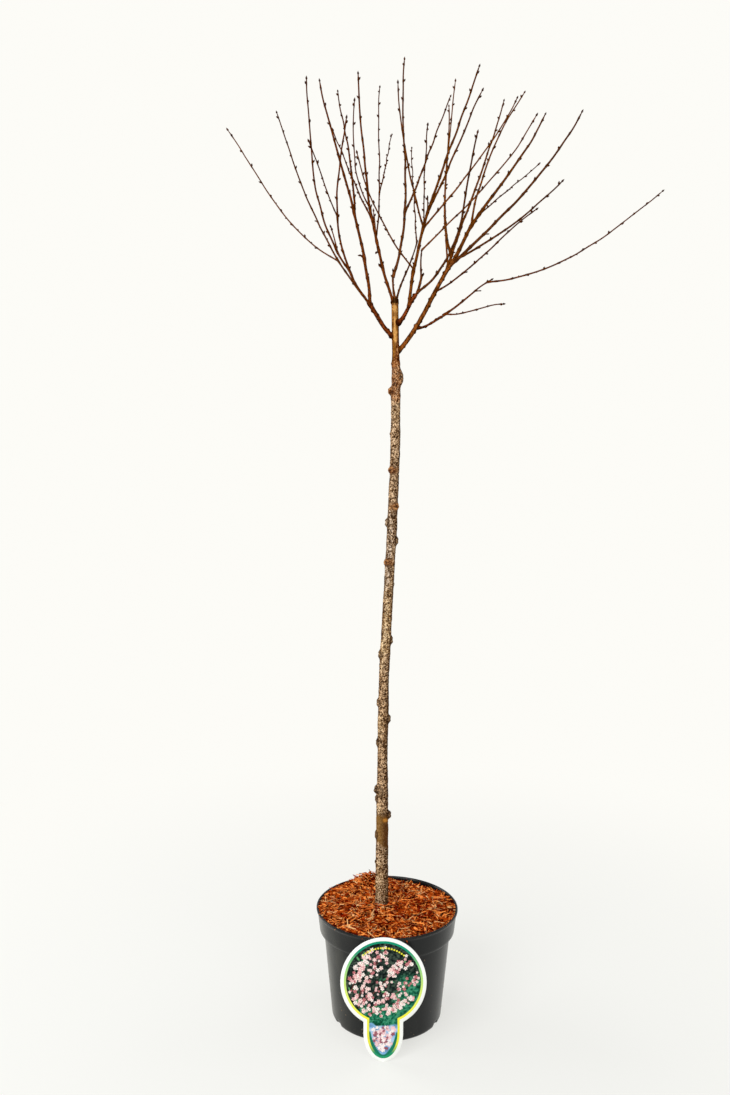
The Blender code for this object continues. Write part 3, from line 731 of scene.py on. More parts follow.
def pot_surface():
    """The pot's profile carried round the Z axis. Round each drain notch the wall is drawn in by a
    depth that falls to nothing at the edge of an arch of the notch's radius and height."""
    step = POT_HEIGHT - COLLAR_HEIGHT
    below, collar, lip = pot_radius(step), POT_RIM_RADIUS - COLLAR_TAPER, POT_HEIGHT - LIP_HEIGHT
    profile = (
        (0.004, 0.0006), (POT_FOOT_RADIUS - 2 * FOOT_BEVEL, 0.0006), (POT_FOOT_RADIUS - 1.4 * FOOT_BEVEL, 0.0),
        (POT_FOOT_RADIUS - FOOT_BEVEL, 0.0), (pot_radius(FOOT_BEVEL) - 0.0009, 0.0009),
        (pot_radius(FOOT_BEVEL), FOOT_BEVEL), (below - 0.0003, step - 0.0008), (below, step),
        (collar - 0.0006, step + LEDGE_RISE - 0.0002), (collar, step + LEDGE_RISE + 0.0006),
        (POT_RIM_RADIUS - LIP_STEP, lip), (POT_RIM_RADIUS - LIP_ROUND / 2, lip + LIP_ROUND / 2),
        (POT_RIM_RADIUS, lip + 1.5 * LIP_ROUND), (POT_RIM_RADIUS, POT_HEIGHT - LIP_ROUND),
        (POT_RIM_RADIUS - LIP_ROUND, POT_HEIGHT), (POT_RIM_RADIUS - LIP_WIDTH + LIP_ROUND, POT_HEIGHT),
        (POT_RIM_RADIUS - LIP_WIDTH, POT_HEIGHT - LIP_ROUND), (collar - POT_WALL, step + 2 * LEDGE_RISE),
        (below - POT_WALL, step + LEDGE_RISE), (pot_radius(POT_FLOOR) - POT_WALL, POT_FLOOR), (0.004, POT_FLOOR),
    )
    fine = densified(profile, 0.0035)
    angles = 2 * math.pi * np.arange(POT_COLUMNS) / POT_COLUMNS
    radius = np.repeat(fine[:, :1], POT_COLUMNS, axis=1)
    height = np.repeat(fine[:, 1:], POT_COLUMNS, axis=1)
    outside = (np.arange(len(fine)) < len(fine) // 2)[:, None] & (radius > 0.9 * POT_FOOT_RADIUS)
    turn = 2 * math.pi / NOTCH_COUNT
    offset = (angles % turn - turn / 2) * POT_FOOT_RADIUS
    away = np.hypot(offset[None] / NOTCH_RADIUS, height / NOTCH_HEIGHT)
    radius = radius - outside * NOTCH_DEPTH * smoothstep((1 - away) * 3)
    return closed_grid(np.stack([radius * np.cos(angles), radius * np.sin(angles), height], axis=-1))


def painted_sheen_tones(points, plastic, sheen):
    """The plastic's colour under a pale sheen painted outside as a reflection, strongest on the pot's left and weak on
    its right by bell curves of the bearing, and patchy by noise."""
    cosine = points[:, 0] / (np.hypot(points[:, 0], points[:, 1]) + 1e-9)
    from_left, from_right = np.arccos(np.clip(-cosine, -1, 1)), np.arccos(np.clip(cosine, -1, 1))
    film = 0.80 * np.exp(-((from_left / 0.61) ** 2)) + 0.40 * np.exp(-((from_right / 0.38) ** 2))
    film *= (1 + 0.35 * soft_noise(points * 60 + 3, 92)) * (np.arange(len(points)) < len(points) // 2)
    return blended(np.tile(tuple(plastic), (len(points), 1)), film, tuple(sheen))


# Bark mulch


def settled(x, y):
    """How far the mulch has sunk from the lip: a bell curve of the bearing, at the back right."""
    return np.exp(-(((np.arctan2(y, x) - MULCH_OPEN_BEARING) / MULCH_OPEN_REACH) ** 2))


def mulch_height(x, y):
    """The mulch's surface: a low mound that falls with the square of the radius, plus a heap at the
    back left that falls as a bell curve, plus a bank against the lip, which has settled in one place."""
    edge = POT_RIM_RADIUS - LIP_WIDTH - MULCH_EDGE_GAP
    mound = MULCH_CROWN * (1 - (x * x + y * y) / edge**2)
    away = np.hypot(x - MULCH_HEAP_PLACE[0], y - MULCH_HEAP_PLACE[1]) / MULCH_HEAP_REACH
    bank = smoothstep((np.hypot(x, y) / edge - 0.70) / 0.30) * MULCH_BANK * (1 - 1.5 * settled(x, y))
    return POT_HEIGHT - MULCH_EDGE_DROP + mound + MULCH_HEAP_HEIGHT * np.exp(-(away**2)) + bank


def root_ball_surface():
    """A closed body: the mulch's surface, roughened by noise, over a plain tapering root ball."""
    edge = POT_RIM_RADIUS - LIP_WIDTH - MULCH_EDGE_GAP
    columns = 120
    angles = 2 * math.pi * np.arange(columns) / columns
    radii = np.linspace(edge, 0.001, 40)[:, None]
    x, y = radii * np.cos(angles), radii * np.sin(angles)
    rough = 0.0018 * soft_noise(np.stack([x, y, 0 * x], axis=-1) * 260, 5)
    top = np.stack([x, y, mulch_height(x, y) - 0.003 + rough], axis=-1)
    floor = POT_FLOOR + GAP
    foot = pot_radius(POT_FLOOR) - POT_WALL - 2 * GAP
    waist = pot_radius(POT_HEIGHT - COLLAR_HEIGHT) - POT_WALL - GAP
    walls = []
    for radius, height in ((0.002, floor), (foot, floor), (waist, POT_HEIGHT - COLLAR_HEIGHT)):
        ring = [radius * np.cos(angles), radius * np.sin(angles), np.full(columns, height)]
        walls.append(np.stack(ring, axis=-1))
    return closed_grid(np.concatenate([np.array(walls), top]))


def mulch_pieces(count, longest, thickness, bend, seed, lift):
    """Slivers strewn over the mulch: even over its area by the square root of a random share of the
    radius, turned at random, tilted a little, and sized by a random share."""
    chance = np.random.default_rng(seed)
    length = longest * chance.uniform(0.30, 1.0, count) ** 1.6
    bearing = chance.uniform(0, 2 * math.pi, count)
    sunk = settled(np.cos(bearing), np.sin(bearing))
    edge = POT_RIM_RADIUS - 0.0015 - 0.0040 * sunk
    radius = (edge - 0.30 * length) * np.sqrt(chance.uniform(0.0, 1.0, count))
    x, y = radius * np.cos(bearing), radius * np.sin(bearing)
    from_trunk = np.hypot(x - TRUNK_FOOT_X, y)
    turn = np.where(from_trunk < 0.016, np.arctan2(y, x - TRUNK_FOOT_X) + math.pi / 2, chance.uniform(0, 2 * math.pi, count))
    tilt = chance.normal(0, 0.14, count)
    direction = np.stack([np.cos(turn) * np.cos(tilt), np.sin(turn) * np.cos(tilt), np.sin(tilt)], axis=-1)
    raised = lift * (1 - 0.6 * sunk) * chance.uniform(0, 1, count)
    z = mulch_height(x, y) - 0.0015 + raised + 0.2 * length * np.abs(np.sin(tilt))
    width = thickness * chance.uniform(0.5, 1.9, count)
    sizes = np.stack([width, 0.32 * width, length], axis=-1)
    frames = frames_along(direction, chance.uniform(-1.2, 1.2, count))
    return copies(sliver_shape(bend), np.stack([x, y, z], axis=-1), frames, sizes)


# Picture label


def label_half_width(height, inset):
    """Half the label's width at a height over its tip, drawn in by an inset: the wider of a tail that
    ends in half an ellipse and a round head."""
    tail = LABEL_TAIL_HALF - inset
    share = np.clip((LABEL_TIP_LENGTH - height) / (LABEL_TIP_LENGTH - inset), 0, 1)
    middle = LABEL_LENGTH - LABEL_HEAD_RADIUS
    straight = np.where(height <= middle, tail * np.sqrt(1 - share**2), 0)
    reach = (LABEL_HEAD_RADIUS - inset) ** 2 - (height - middle) ** 2
    return np.maximum(straight, np.sqrt(np.clip(reach, 0, None)))


def on_label(across, height, lift):
    """Places on the label's front: the label stands on its tip and leans back by its angle."""
    depth = -LABEL_THICKNESS - lift
    foot_y = -(POT_RIM_RADIUS + GAP) - POT_HEIGHT * math.tan(LABEL_LEAN)
    cosine, sine = math.cos(LABEL_LEAN), math.sin(LABEL_LEAN)
    y = foot_y + depth * cosine + height * sine
    return np.stack([LABEL_X + across, y, height * cosine - depth * sine], axis=-1)


def card_surface():
    """The label's plain card: rings round its outline, from the back's middle over a small round
    edge to the front's middle."""
    heights = LABEL_LENGTH * (1 - np.cos(np.linspace(0.004, math.pi - 0.004, 160))) / 2
    rings = []
    for inset, depth in ((0.02, 0.0), (0.0003, 0.0), (0.0, 0.0003), (0.0, 0.0007), (0.0003, LABEL_THICKNESS), (0.02, LABEL_THICKNESS)):
        half = np.maximum(label_half_width(heights, 0.0) - inset, 0.0002)
        across = np.concatenate([half, -half[::-1]])
        up = np.concatenate([heights, heights[::-1]])
        rings.append(on_label(across, up, depth - LABEL_THICKNESS))
    return closed_grid(np.array(rings))


def printed_patch(inset, lift, cells=64, rows=220):
    """A flat layer of print: rows up the label and cells across it, as wide as the label is there
    less the inset. Returns its surface and each point's place on the label."""
    low, high = inset + 0.0001, LABEL_LENGTH - inset - 0.0001
    heights = low + (high - low) * (1 - np.cos(np.linspace(0, math.pi, rows))) / 2
    half = label_half_width(heights, inset)
    across = half[:, None] * np.linspace(-1, 1, cells)[None]
    up = np.broadcast_to(heights[:, None], across.shape)
    row, cell = np.meshgrid(np.arange(rows - 1), np.arange(cells - 1), indexing="ij")
    corner = row * cells + cell
    quads = np.stack([corner, corner + 1, corner + cells + 1, corner + cells], axis=-1).reshape(-1, 4)
    points = on_label(across.ravel(), up.ravel(), lift)
    return Surface(points, quads, np.empty((0, 3), int)), across.ravel(), up.ravel()


def band_colours(across, up):
    """The border's band by height: green round the tip, yellow up the tail, yellow-green at the
    head's sides and a bluish green round its top."""
    heights = (0.012, 0.024, 0.060, 0.085, 0.125, 0.145)
    colours = ((0.02, 0.28, 0.13), (0.74, 0.72, 0.06), (0.82, 0.78, 0.06), (0.68, 0.78, 0.14),
               (0.24, 0.56, 0.20), (0.01, 0.27, 0.15))
    return graded(up, heights, colours)


def foot_edge(across):
    """How high the blue tail's lower edge lies: a parabola over the label's tip, cut off at 40 mm."""
    return np.minimum(0.0105 + 95.0 * across**2, 0.040)


def ground_colours(across, up):
    """The picture's ground: leafy green on the right and dark slate on the left, mottled by noise,
    over a sky-blue tail that begins below a green edge and narrows to a point by a parabola."""
    place = np.stack([across, up, 0 * up], axis=-1)
    leafy = np.clip(0.45 + 0.6 * soft_noise(place * 420, 21) + 0.6 * soft_noise(place * 900, 22), 0, 1)
    head = graded(leafy, (0.0, 0.5, 1.0), ((0.003, 0.006, 0.006), (0.012, 0.022, 0.019), (0.060, 0.085, 0.062)))
    green = graded(leafy, (0.0, 0.5, 1.0), ((0.002, 0.040, 0.018), (0.008, 0.150, 0.080), (0.060, 0.290, 0.160)))
    drift = 0.008 * soft_noise(place * 70, 25)
    into_green = np.maximum(smoothstep((across + drift - 0.012) / 0.016) * smoothstep((0.122 - up) / 0.02),
                            smoothstep((0.072 + drift - up) / 0.006))
    head = head + (green - head) * into_green[:, None]
    sky = graded(0.5 + 0.8 * soft_noise(place * 190, 23), (0.0, 0.5, 1.0),
                 ((0.130, 0.260, 0.420), (0.190, 0.410, 0.680), (0.420, 0.560, 0.720)))
    into_tail = smoothstep((0.050 + 0.003 * soft_noise(place * 120, 24) - up) / 0.002)[:, None]
    ground = head * (1 - into_tail) + sky * into_tail
    return blended(ground, smoothstep((foot_edge(across) + 0.2 * drift - up) / 0.002), (0.010, 0.170, 0.095))


def petal_surface():
    """Five flat petals round the origin, one unit across: the radius swells and falls five times
    round, with a small notch at each petal's end. A fan of triangles from the middle."""
    angles = 2 * math.pi * np.arange(40) / 40
    lobe = np.abs(np.cos(2.5 * angles)) ** 0.7
    radius = 0.5 * (0.30 + 0.70 * lobe) * (1 - 0.12 * np.exp(-((np.abs(np.cos(2.5 * angles)) - 1) / 0.03) ** 2))
    rim = np.stack([radius * np.cos(angles), radius * np.sin(angles), 0 * angles], axis=-1)
    return fan(rim)


def fan(rim):
    around = np.arange(len(rim))
    middle = np.full(len(rim), len(rim))
    triangles = np.stack([middle, around, (around + 1) % len(rim)], axis=-1)
    return Surface(np.vstack([rim, [[0, 0, 0]]]), np.empty((0, 4), int), triangles)


def round_surface(sides):
    angles = 2 * math.pi * np.arange(sides) / sides
    return fan(np.stack([0.5 * np.cos(angles), 0.5 * np.sin(angles), 0 * angles], axis=-1))


def leaf_surface():
    """A flat pointed oval, one unit long: its half width is a sine of the share of its length."""
    share = np.linspace(0, 1, 9)
    half = 0.17 * np.sin(math.pi * share) ** 0.8
    rim = np.concatenate([np.stack([share - 0.5, half, 0 * share], -1), np.stack([share - 0.5, -half, 0 * share], -1)[-2:0:-1]])
    return fan(rim)


def print_copies(template, places, sizes, turns, lift):
    """Flat motifs laid on the label's front, each turned in the label's plane."""
    origins = on_label(places[:, 0], places[:, 1], lift)
    cosine, sine = math.cos(LABEL_LEAN), math.sin(LABEL_LEAN)
    across, up = np.array([1.0, 0, 0]), np.array([0, sine, cosine])
    first = np.cos(turns)[:, None] * across + np.sin(turns)[:, None] * up
    second = -np.sin(turns)[:, None] * across + np.cos(turns)[:, None] * up
    frames = np.stack([first, second, np.cross(first, second)], axis=-1)
    return copies(template, origins, frames, np.repeat(sizes[:, None], 3, axis=1))


def garland_lines():
    """Boughs of the label's picture, as curves on the label: each sweeps from the lower left to the
    right and upwards by a quadratic curve."""
    rows = (
        ((-0.038, 0.076), (-0.020, 0.118), (0.006, 0.150)),
        ((-0.044, 0.092), (-0.034, 0.126), (-0.020, 0.145)),
        ((-0.034, 0.070), (0.000, 0.104), (0.032, 0.136)),
        ((-0.028, 0.066), (0.016, 0.086), (0.046, 0.112)),
        ((-0.020, 0.063), (0.018, 0.070), (0.039, 0.086)),
    )
    t = np.linspace(0, 1, 26)[:, None]
    return [np.array(a) * (1 - t) ** 2 + np.array(b) * 2 * t * (1 - t) + np.array(c) * t * t for a, b, c in rows]


def ribbon(line, width, lift):
    """A flat strip on the label along a line, which narrows to its end."""
    along = unit(np.gradient(line, axis=0))
    across = np.stack([-along[:, 1], along[:, 0]], axis=-1) * (width * np.linspace(1, 0.4, len(line)))[:, None]
    low, high = line - across, line + across
    points = np.stack([on_label(low[:, 0], low[:, 1], lift), on_label(high[:, 0], high[:, 1], lift)], axis=1)
    row = 2 * np.arange(len(line) - 1)
    quads = np.stack([row, row + 2, row + 3, row + 1], axis=-1)
    return Surface(points.reshape(-1, 3), quads, np.empty((0, 3), int))


# Trunk and boughs


FRESH_KNOTS = (0.673, 0.754, 0.807, 0.922)
DARK_KNOTS = (0.267, 0.297, 0.336, 0.321, 0.352, 0.392)
GRAFT_HEIGHT = 0.90
SCARS = (
    Knot(0.226, LEFT, 0.0012, 0.8),
    Knot(0.352, FRONT_RIGHT, 0.0009, 0.6),
    Knot(0.392, FRONT_RIGHT, 0.0006, 0.8),
    Knot(0.336, LEFT, 0.0028, 0.9),
    Knot(0.321, LEFT, 0.0022, 0.8),
    Knot(0.772, math.radians(-70), 0.0006, 0.6),
    Knot(0.496, FRONT_RIGHT, 0.0007, 0.7),
    Knot(0.428, FRONT_LEFT, 0.0006, 0.7),
    Knot(0.742, math.radians(-80), 0.0009, 0.9),
    Knot(0.640, RIGHT, 0.0007, 1.0),
    Knot(0.860, LEFT, 0.0009, 0.8),
    Knot(0.480, math.radians(70), 0.0014, 1.0),
    Knot(0.600, math.radians(110), 0.0014, 1.0),
    Knot(0.780, math.radians(80), 0.0015, 1.0),
)
GREY_BARK = ((0.030, 0.008, 0.001), (0.110, 0.046, 0.012), (0.260, 0.146, 0.066), (0.590, 0.410, 0.255))
OCHRE_BARK = ((0.050, 0.016, 0.002), (0.165, 0.074, 0.018), (0.385, 0.232, 0.098), (0.700, 0.515, 0.305))
GRAFT_BARK = ((0.036, 0.007, 0.0012), (0.120, 0.030, 0.0055), (0.250, 0.088, 0.022), (0.520, 0.265, 0.120))
SILVERY = (0.00, 0.13, 0.40)
RUSTY = (0.00, 0.05, 0.12)
BARK_STOPS = (0.02, 0.36, 0.64, 0.98)


def knot_field(z, angle, base):
    """What the knots add to the trunk's radius, and masks of their body, rim, middle, fresh bark and
    dark bark. Each is a function of the distance along the bark, in shares of the knot's reach: the
    body is a flat-topped bell, the rim a ring outside it and the middle a narrow bell that is sunk."""
    rise, body, rim, middle, fresh, dark = np.zeros((6, *z.shape))
    for knot in (*KNOTS, *SCARS):
        reach = KNOT_REACH if knot.size > 0.0016 else SCAR_REACH
        turn = (angle - knot.bearing + math.pi) % (2 * math.pi) - math.pi
        away = np.hypot(turn * base, (z - knot.height) / knot.tall) / reach
        sunk = np.exp(-((away / 0.36) ** 2)) * (0.10 if knot.height > GRAFT_HEIGHT else 0.40)
        size = knot.size * (1 if knot.height > GRAFT_HEIGHT else KNOT_SWELLING)
        rise += size * (np.exp(-(away**3.2)) - sunk)
        body = np.maximum(body, np.exp(-((away / 0.95) ** 4)))
        rim = np.maximum(rim, np.exp(-(((away - 1.10) / 0.24) ** 2)))
        middle = np.maximum(middle, 2.4 * sunk)
        if knot.height in FRESH_KNOTS:
            wide = np.hypot(turn * base / 1.5, (z - knot.height) / knot.tall) / reach
            fresh = np.maximum(fresh, np.exp(-((wide / 1.12) ** 4)))
        elif knot.height in DARK_KNOTS:
            dark = np.maximum(dark, np.exp(-((away / 1.05) ** 4)))
    return rise, body, rim, np.minimum(middle, 1.0), fresh, dark


def trunk_surface(relief, columns=76, step=0.00068):
    """The trunk as rings of height and angle. The radius is the taper, plus the knots, plus slow
    swellings, upright ridges and fine grain by noise, which is smoother above the graft."""
    heights = np.arange(0.150, TRUNK_TOP + step / 2, step)
    angles = 2 * math.pi * np.arange(columns) / columns
    z, angle = np.meshgrid(heights, angles, indexing="ij")
    base = np.interp(z, TRUNK_HEIGHTS, TRUNK_RADII)
    places = np.stack([base * np.cos(angle), base * np.sin(angle), z], axis=-1)
    knots = knot_field(z, angle, base)
    slow = bark_noise(places, 0.011, 0.028, 31)
    ridges = bark_noise(places, 0.0024, 0.0120, 32)
    grain = bark_noise(places, 0.0012, 0.0012, 33) + 0.35 * bark_noise(places, 0.0026, 0.0034, 34)
    lumps = bark_noise(places, 0.0055, 0.0075, 38)
    radius = base + knots[0] + relief * (1.9 * slow + 1.2 * lumps + 0.7 * (1 - 2 * np.abs(ridges)) + 0.8 * grain)
    rings = np.stack([trunk_x(z) + radius * np.cos(angle), radius * np.sin(angle), z], axis=-1)
    return closed_grid(rings), trunk_colours(places, angle, knots, ridges, grain)


def band(height, low, high, soft=0.006):
    """One between two heights, falling to nothing over a soft edge."""
    return smoothstep((height - low) / soft) * smoothstep((high - height) / soft)


def trunk_colours(places, angle, knots, ridges, grain):
    """The bark's tone at each point. The grain's noise picks it from a grey-brown, an ochre or a red-brown row of
    tones, with a painted highlight on the front and painted shade on the flanks, and it is paler on the left than on
    the right by painted shade on the right, whose edge wanders. One band has a pale strip painted as a highlight, with
    painted shade on its left. Knots have a dark rim and middle, partly painted shade in the crease round them and in
    the sunk middle, and the fresh ones are orange-brown with bright flecks painted as glints of light."""
    z = places[..., 2]
    _, body, rim, middle, fresh, dark = knots
    outwards = np.stack([np.cos(angle), np.sin(angle), 0 * angle], axis=-1)
    warm = bark_noise(places, 0.012, 0.045, 36)
    # Painted shade on the right flank, whose edge wanders by noise, with less of it round the graft.
    shade = smoothstep((np.cos(angle) + 0.25 + 0.5 * warm) / 0.5) * (1 - 0.8 * band(z, 0.892, 0.985, 0.010))
    level = 0.495 + (0.92 - 0.16 * shade) * grain + 0.24 * ridges + 0.16 * bark_noise(places, 0.008, 0.020, 35)
    level = level + 0.58 * painted_front_light(outwards) - 0.06 * band(z, 0.617, 0.672, 0.002) - 0.215 * shade
    # A pale strip painted as a highlight, a little left of the front and the same at the back, with painted shade on
    # the left flank beside it.
    strip = band(z, 0.556, 0.617, 0.004)
    level = level + strip * (0.34 * np.exp(-(((np.cos(angle) + 0.22) / 0.24) ** 2)) - 0.32 * (np.cos(angle) < -0.55))
    level = level - 0.20 * band(z, 0.954, 0.999, 0.006)
    tone = graded(level, BARK_STOPS, GREY_BARK)
    silver = band(z, 0.617, 0.752, 0.004) * (1 - 0.6 * shade)
    tone = tone * (1 + silver[..., None] * np.array(SILVERY))
    tone = tone * (1 - band(z, 0.300, 0.520, 0.020)[..., None] * np.array(RUSTY))
    ochre = np.clip(0.80 * band(z, 0.538, 0.617, 0.002) + 0.6 * smoothstep(2.2 * warm - 0.4), 0, 1)
    tone = tone + (graded(level, BARK_STOPS, OCHRE_BARK) - tone) * ochre[..., None]
    graft = smoothstep((z - 0.902 + 0.010 * bark_noise(places, 0.006, 0.009, 37)) / 0.016)
    tone = tone + (graded(level, BARK_STOPS, GRAFT_BARK) - tone) * graft[..., None]
    # Deeper painted shade on the right flank of one band.
    shaded = smoothstep((np.cos(angle) - 0.05) / 0.45) * band(z, 0.376, 0.470, 0.012)
    tone = blended(tone, 0.50 * shaded, (0.075, 0.036, 0.013))
    scar = band(z, 0.915, 0.985, 0.010) * smoothstep((-np.cos(angle) - 0.25) / 0.3)
    tone = blended(tone, 0.55 * scar, (0.105, 0.026, 0.005))
    smooth = band(z, 0.2507 - 0.0065 * np.cos(angle), 0.300, 0.005) * smoothstep((0.7 - np.sin(angle)) / 0.7)
    to_right = smoothstep(0.5 + 0.9 * np.cos(angle))
    tone = blended(tone, 0.88 * smooth, (0.190, 0.094, 0.022))
    # Painted shade on the smooth patch's right side.
    tone = blended(tone, 0.95 * smooth * to_right, (0.075, 0.026, 0.006))
    glow = np.exp(-(((z - 0.291) / 0.003) ** 2)) * smoothstep((np.cos(angle + 0.8) - 0.66) / 0.3)
    tone = blended(tone, 0.85 * glow, (0.520, 0.215, 0.032))
    tone = blended(tone, 0.35 * body, (0.260, 0.165, 0.085))
    # Dark pits by noise in the fresh knots, and bright flecks painted as glints of light.
    pits_and_glints = bark_noise(places, 0.0020, 0.0018, 39) + 0.8 * bark_noise(places, 0.0012, 0.0012, 40)
    reddish = smoothstep((z - 0.780) / 0.010)
    tone = blended(tone, 0.90 * fresh * (1 - reddish), (0.230, 0.080, 0.018))
    tone = blended(tone, 0.90 * fresh * reddish, (0.150, 0.036, 0.006))
    tone = blended(tone, 0.80 * fresh * smoothstep((pits_and_glints - 0.02) / 0.30), (0.050, 0.012, 0.002))
    tone = blended(tone, 0.70 * fresh * smoothstep((-0.10 - pits_and_glints) / 0.30), (0.520, 0.255, 0.095))
    tone = blended(tone, 0.70 * dark, (0.075, 0.036, 0.015))
    # Dark bark round each knot, deepened as painted shade in its crease, and its sunk middle painted dark as shade in
    # the hollow.
    tone = blended(tone, (0.85 - 0.45 * np.maximum(fresh, graft)) * rim, (0.022, 0.008, 0.003))
    tone = blended(tone, 0.90 * middle, (0.012, 0.004, 0.002)) * (1 + 0.35 * grain)[..., None]
    flecks = 1 - np.maximum.reduce([0.85 * smooth, 0.80 * fresh, 0.75 * dark, 0.70 * rim, 0.80 * middle, 0.5 * shaded])
    return closed_tones(tone, flecks)


def limb_surface(line, base, tip, relief, foot=0.16, buried=0.0, knobs=True, rounded=0.006, sides=48, step=0.0007):
    """A bough as rings along its line. The radius tapers evenly and swells by bell curves at both
    ends, by the given share at its foot, where it comes out of its parent's bark. Old bud scars wind
    up it as small knobs, and noise ridges it. Its end falls as a circle."""
    fine = flowing(line, max(4, math.ceil(line_length(line) / (len(line) - 1) / step)))
    along = np.concatenate([[0], np.cumsum(np.linalg.norm(np.diff(fine, axis=0), axis=1))])
    radii = base + (tip - base) * along / along[-1] + BARK_THICKNESS
    left = along[-1] - along
    if knobs:
        radii *= 1 + foot * np.exp(-(((along - buried) / 0.0055) ** 2)) + 0.22 * np.exp(-(((left - 0.006) / 0.006) ** 2))
    else:
        radii += 0.0011 * np.exp(-(((along - 0.006) / 0.007) ** 2)) + 0.0006 * smoothstep((0.0085 - left) / 0.002)
    radii *= 0.30 + 0.70 * np.sqrt(1 - (1 - np.clip(left / rounded, 0, 1)) ** 2)
    rings = tube_rings(fine, radii, sides)
    outwards = unit(rings - fine[:, None])
    slow = soft_noise(rings * 130 + 5, 51)
    grain = bark_noise(rings, 0.0012, 0.0020, 52) + 0.4 * bark_noise(rings, 0.0007, 0.0010, 53)
    knob = np.zeros(rings.shape[:2])
    angles = 2 * math.pi * np.arange(sides) / sides
    for index in range(int(along[-1] / KNOB_SPACING)):
        place, bearing = (index + 0.8) * KNOB_SPACING, index * BUD_TURN
        turn = (angles - bearing + math.pi) % (2 * math.pi) - math.pi
        away = np.hypot((along - place)[:, None], turn[None] * base) / KNOB_REACH
        knob = np.maximum(knob, np.exp(-(away**2.4)))
    rise = relief * (1.2 * slow + 0.7 * grain) + (KNOB_RISE if knobs else LEADER_KNOB_RISE) * knob
    return closed_grid(rings + outwards * rise[..., None]), along, rings, grain, knob


def limb_colours(along, rings, grain, knob, tones, buried, dark_foot):
    """The bark's tone along a bough: noise picks it from a row of dark, middle and light, in streaks along the bough,
    paler on the front as a painted highlight and darker on the flanks as painted shade, with dark knobs and a foot
    that is dark over the given length of its parent's bark."""
    streaks = bark_noise(rings, 0.0016, 0.0080, 54)
    around = unit(rings - rings.mean(axis=1, keepdims=True))
    level = 0.54 + 0.36 * grain + 0.30 * streaks + 0.15 * soft_noise(rings * 110, 55) + 0.72 * painted_front_light(around)
    tone = graded(level, (0.0, 0.5, 1.0), tones)
    foot = 0.85 * np.exp(-((np.maximum(along - buried, 0) / dark_foot) ** 2))[:, None]
    shade = np.maximum(0.75 * knob, foot * (0.9 + 0.4 * grain))
    tone = blended(tone, np.clip(shade, 0, 1), 0.45 * np.array(tones[0]))
    return closed_tones(tone, 1 - 0.8 * np.clip(shade, 0, 1))


def leader_colours(along, rings, grain, knob):
    """The leader's tone: bright ochre with olive streaks and brown knobs, paler on the front as a painted highlight
    and darker on the flanks as painted shade, red-brown at its foot and under the boughs, and a dark ring with a
    darker middle where it was cut."""
    streaks = bark_noise(rings, 0.0022, 0.0120, 56)
    around = unit(rings - rings.mean(axis=1, keepdims=True))
    level = 0.53 + 0.28 * grain + 0.38 * streaks + 0.78 * painted_front_light(around)
    tone = graded(level, (0.0, 0.5, 1.0), ((0.030, 0.006, 0.0005), (0.235, 0.085, 0.010), (0.640, 0.330, 0.095)))
    tone = blended(tone, 0.70 * knob, (0.095, 0.030, 0.005))
    red = graded(0.42 + 0.6 * grain + 0.2 * streaks + 0.3 * painted_front_light(around), BARK_STOPS, GRAFT_BARK)
    foot = smoothstep((0.036 + 0.024 * around[..., 0] + 0.008 * streaks - along[:, None]) / 0.012)
    tone = tone + (red - tone) * foot[..., None]
    left = (along[-1] - along)[:, None] + 0.0012 * grain
    tone = blended(tone, 0.7 * np.exp(-(((left - 0.0088) / 0.0012) ** 2)), (0.075, 0.010, 0.003))
    tone = blended(tone, 0.94 * smoothstep((0.0078 - left) / 0.0012), (0.015, 0.003, 0.0005))
    tone = blended(tone, 0.80 * smoothstep((0.0012 - left) / 0.0008), (0.006, 0.003, 0.0015))
    return closed_tones(tone, smoothstep((left - 0.0070) / 0.0020) * 0.8)


def closed_tones(tone, flecks):
    """The tones of a closed grid's points, with the share of flecks: its rings' own, and each pole's
    as the mean of its ring."""
    tone = np.concatenate([np.clip(tone, 0.001, 0.9), flecks[..., None]], axis=-1)
    return np.vstack([tone.reshape(-1, 4), tone[0].mean(axis=0), tone[-1].mean(axis=0)])


# Shoots and buds


def shoot_radii(count, base, per_step, length, forks):
    """An even taper from base to tip, thickened by bell curves of the distance at the shoot's foot,
    at each bud and wherever another shoot leaves, and drawn to a point at the end."""
    place = np.arange((count - 1) * per_step + 1) / per_step
    share = place / (count - 1)
    tip = THINNEST_RADIUS + TAPER * base
    radii = base + (tip - base) * share
    nearest = np.abs((place - 0.5) - np.round(place - 0.5)) * length / (count - 1)
    swelling = NODE_SWELLING * np.exp(-((nearest / NODE_SWELLING_REACH) ** 2))
    for fork in (0.0, *forks):
        swelling = np.maximum(swelling, FORK_SWELLING * np.exp(-(((share - fork) * length / FORK_REACH) ** 2)))
    radii = radii * (1 + swelling) + BARK_THICKNESS
    last = np.clip((place - (count - 1.35)) / 0.35, 0, 1)
    return radii + (POINT_RADIUS - radii) * last


def grown_mass(mass, limbs, crown):
    """Every shoot of a mass: its rings, its share of the way to its tip, and its buds and spurs."""
    chance = random.Random(mass)
    grown = []
    for number, shoot in enumerate(MASSES[mass]):
        line = crown[mass][shoot.name]
        points = shoot_points(line, chance)
        near = places_near((mass, shoot.name), limbs, crown)
        buds = bud_rows(points, near, number == 0, chance)
        fine = flowing(points, PATH_STEPS)
        forks = [child.leaves for child in MASSES[mass] if child.parent == shoot.name]
        radii = shoot_radii(len(points), shoot.base_radius, PATH_STEPS, line_length(line), forks)
        share = np.linspace(0, 1, len(fine))
        grown.append((fine, radii, share, buds))
    return grown


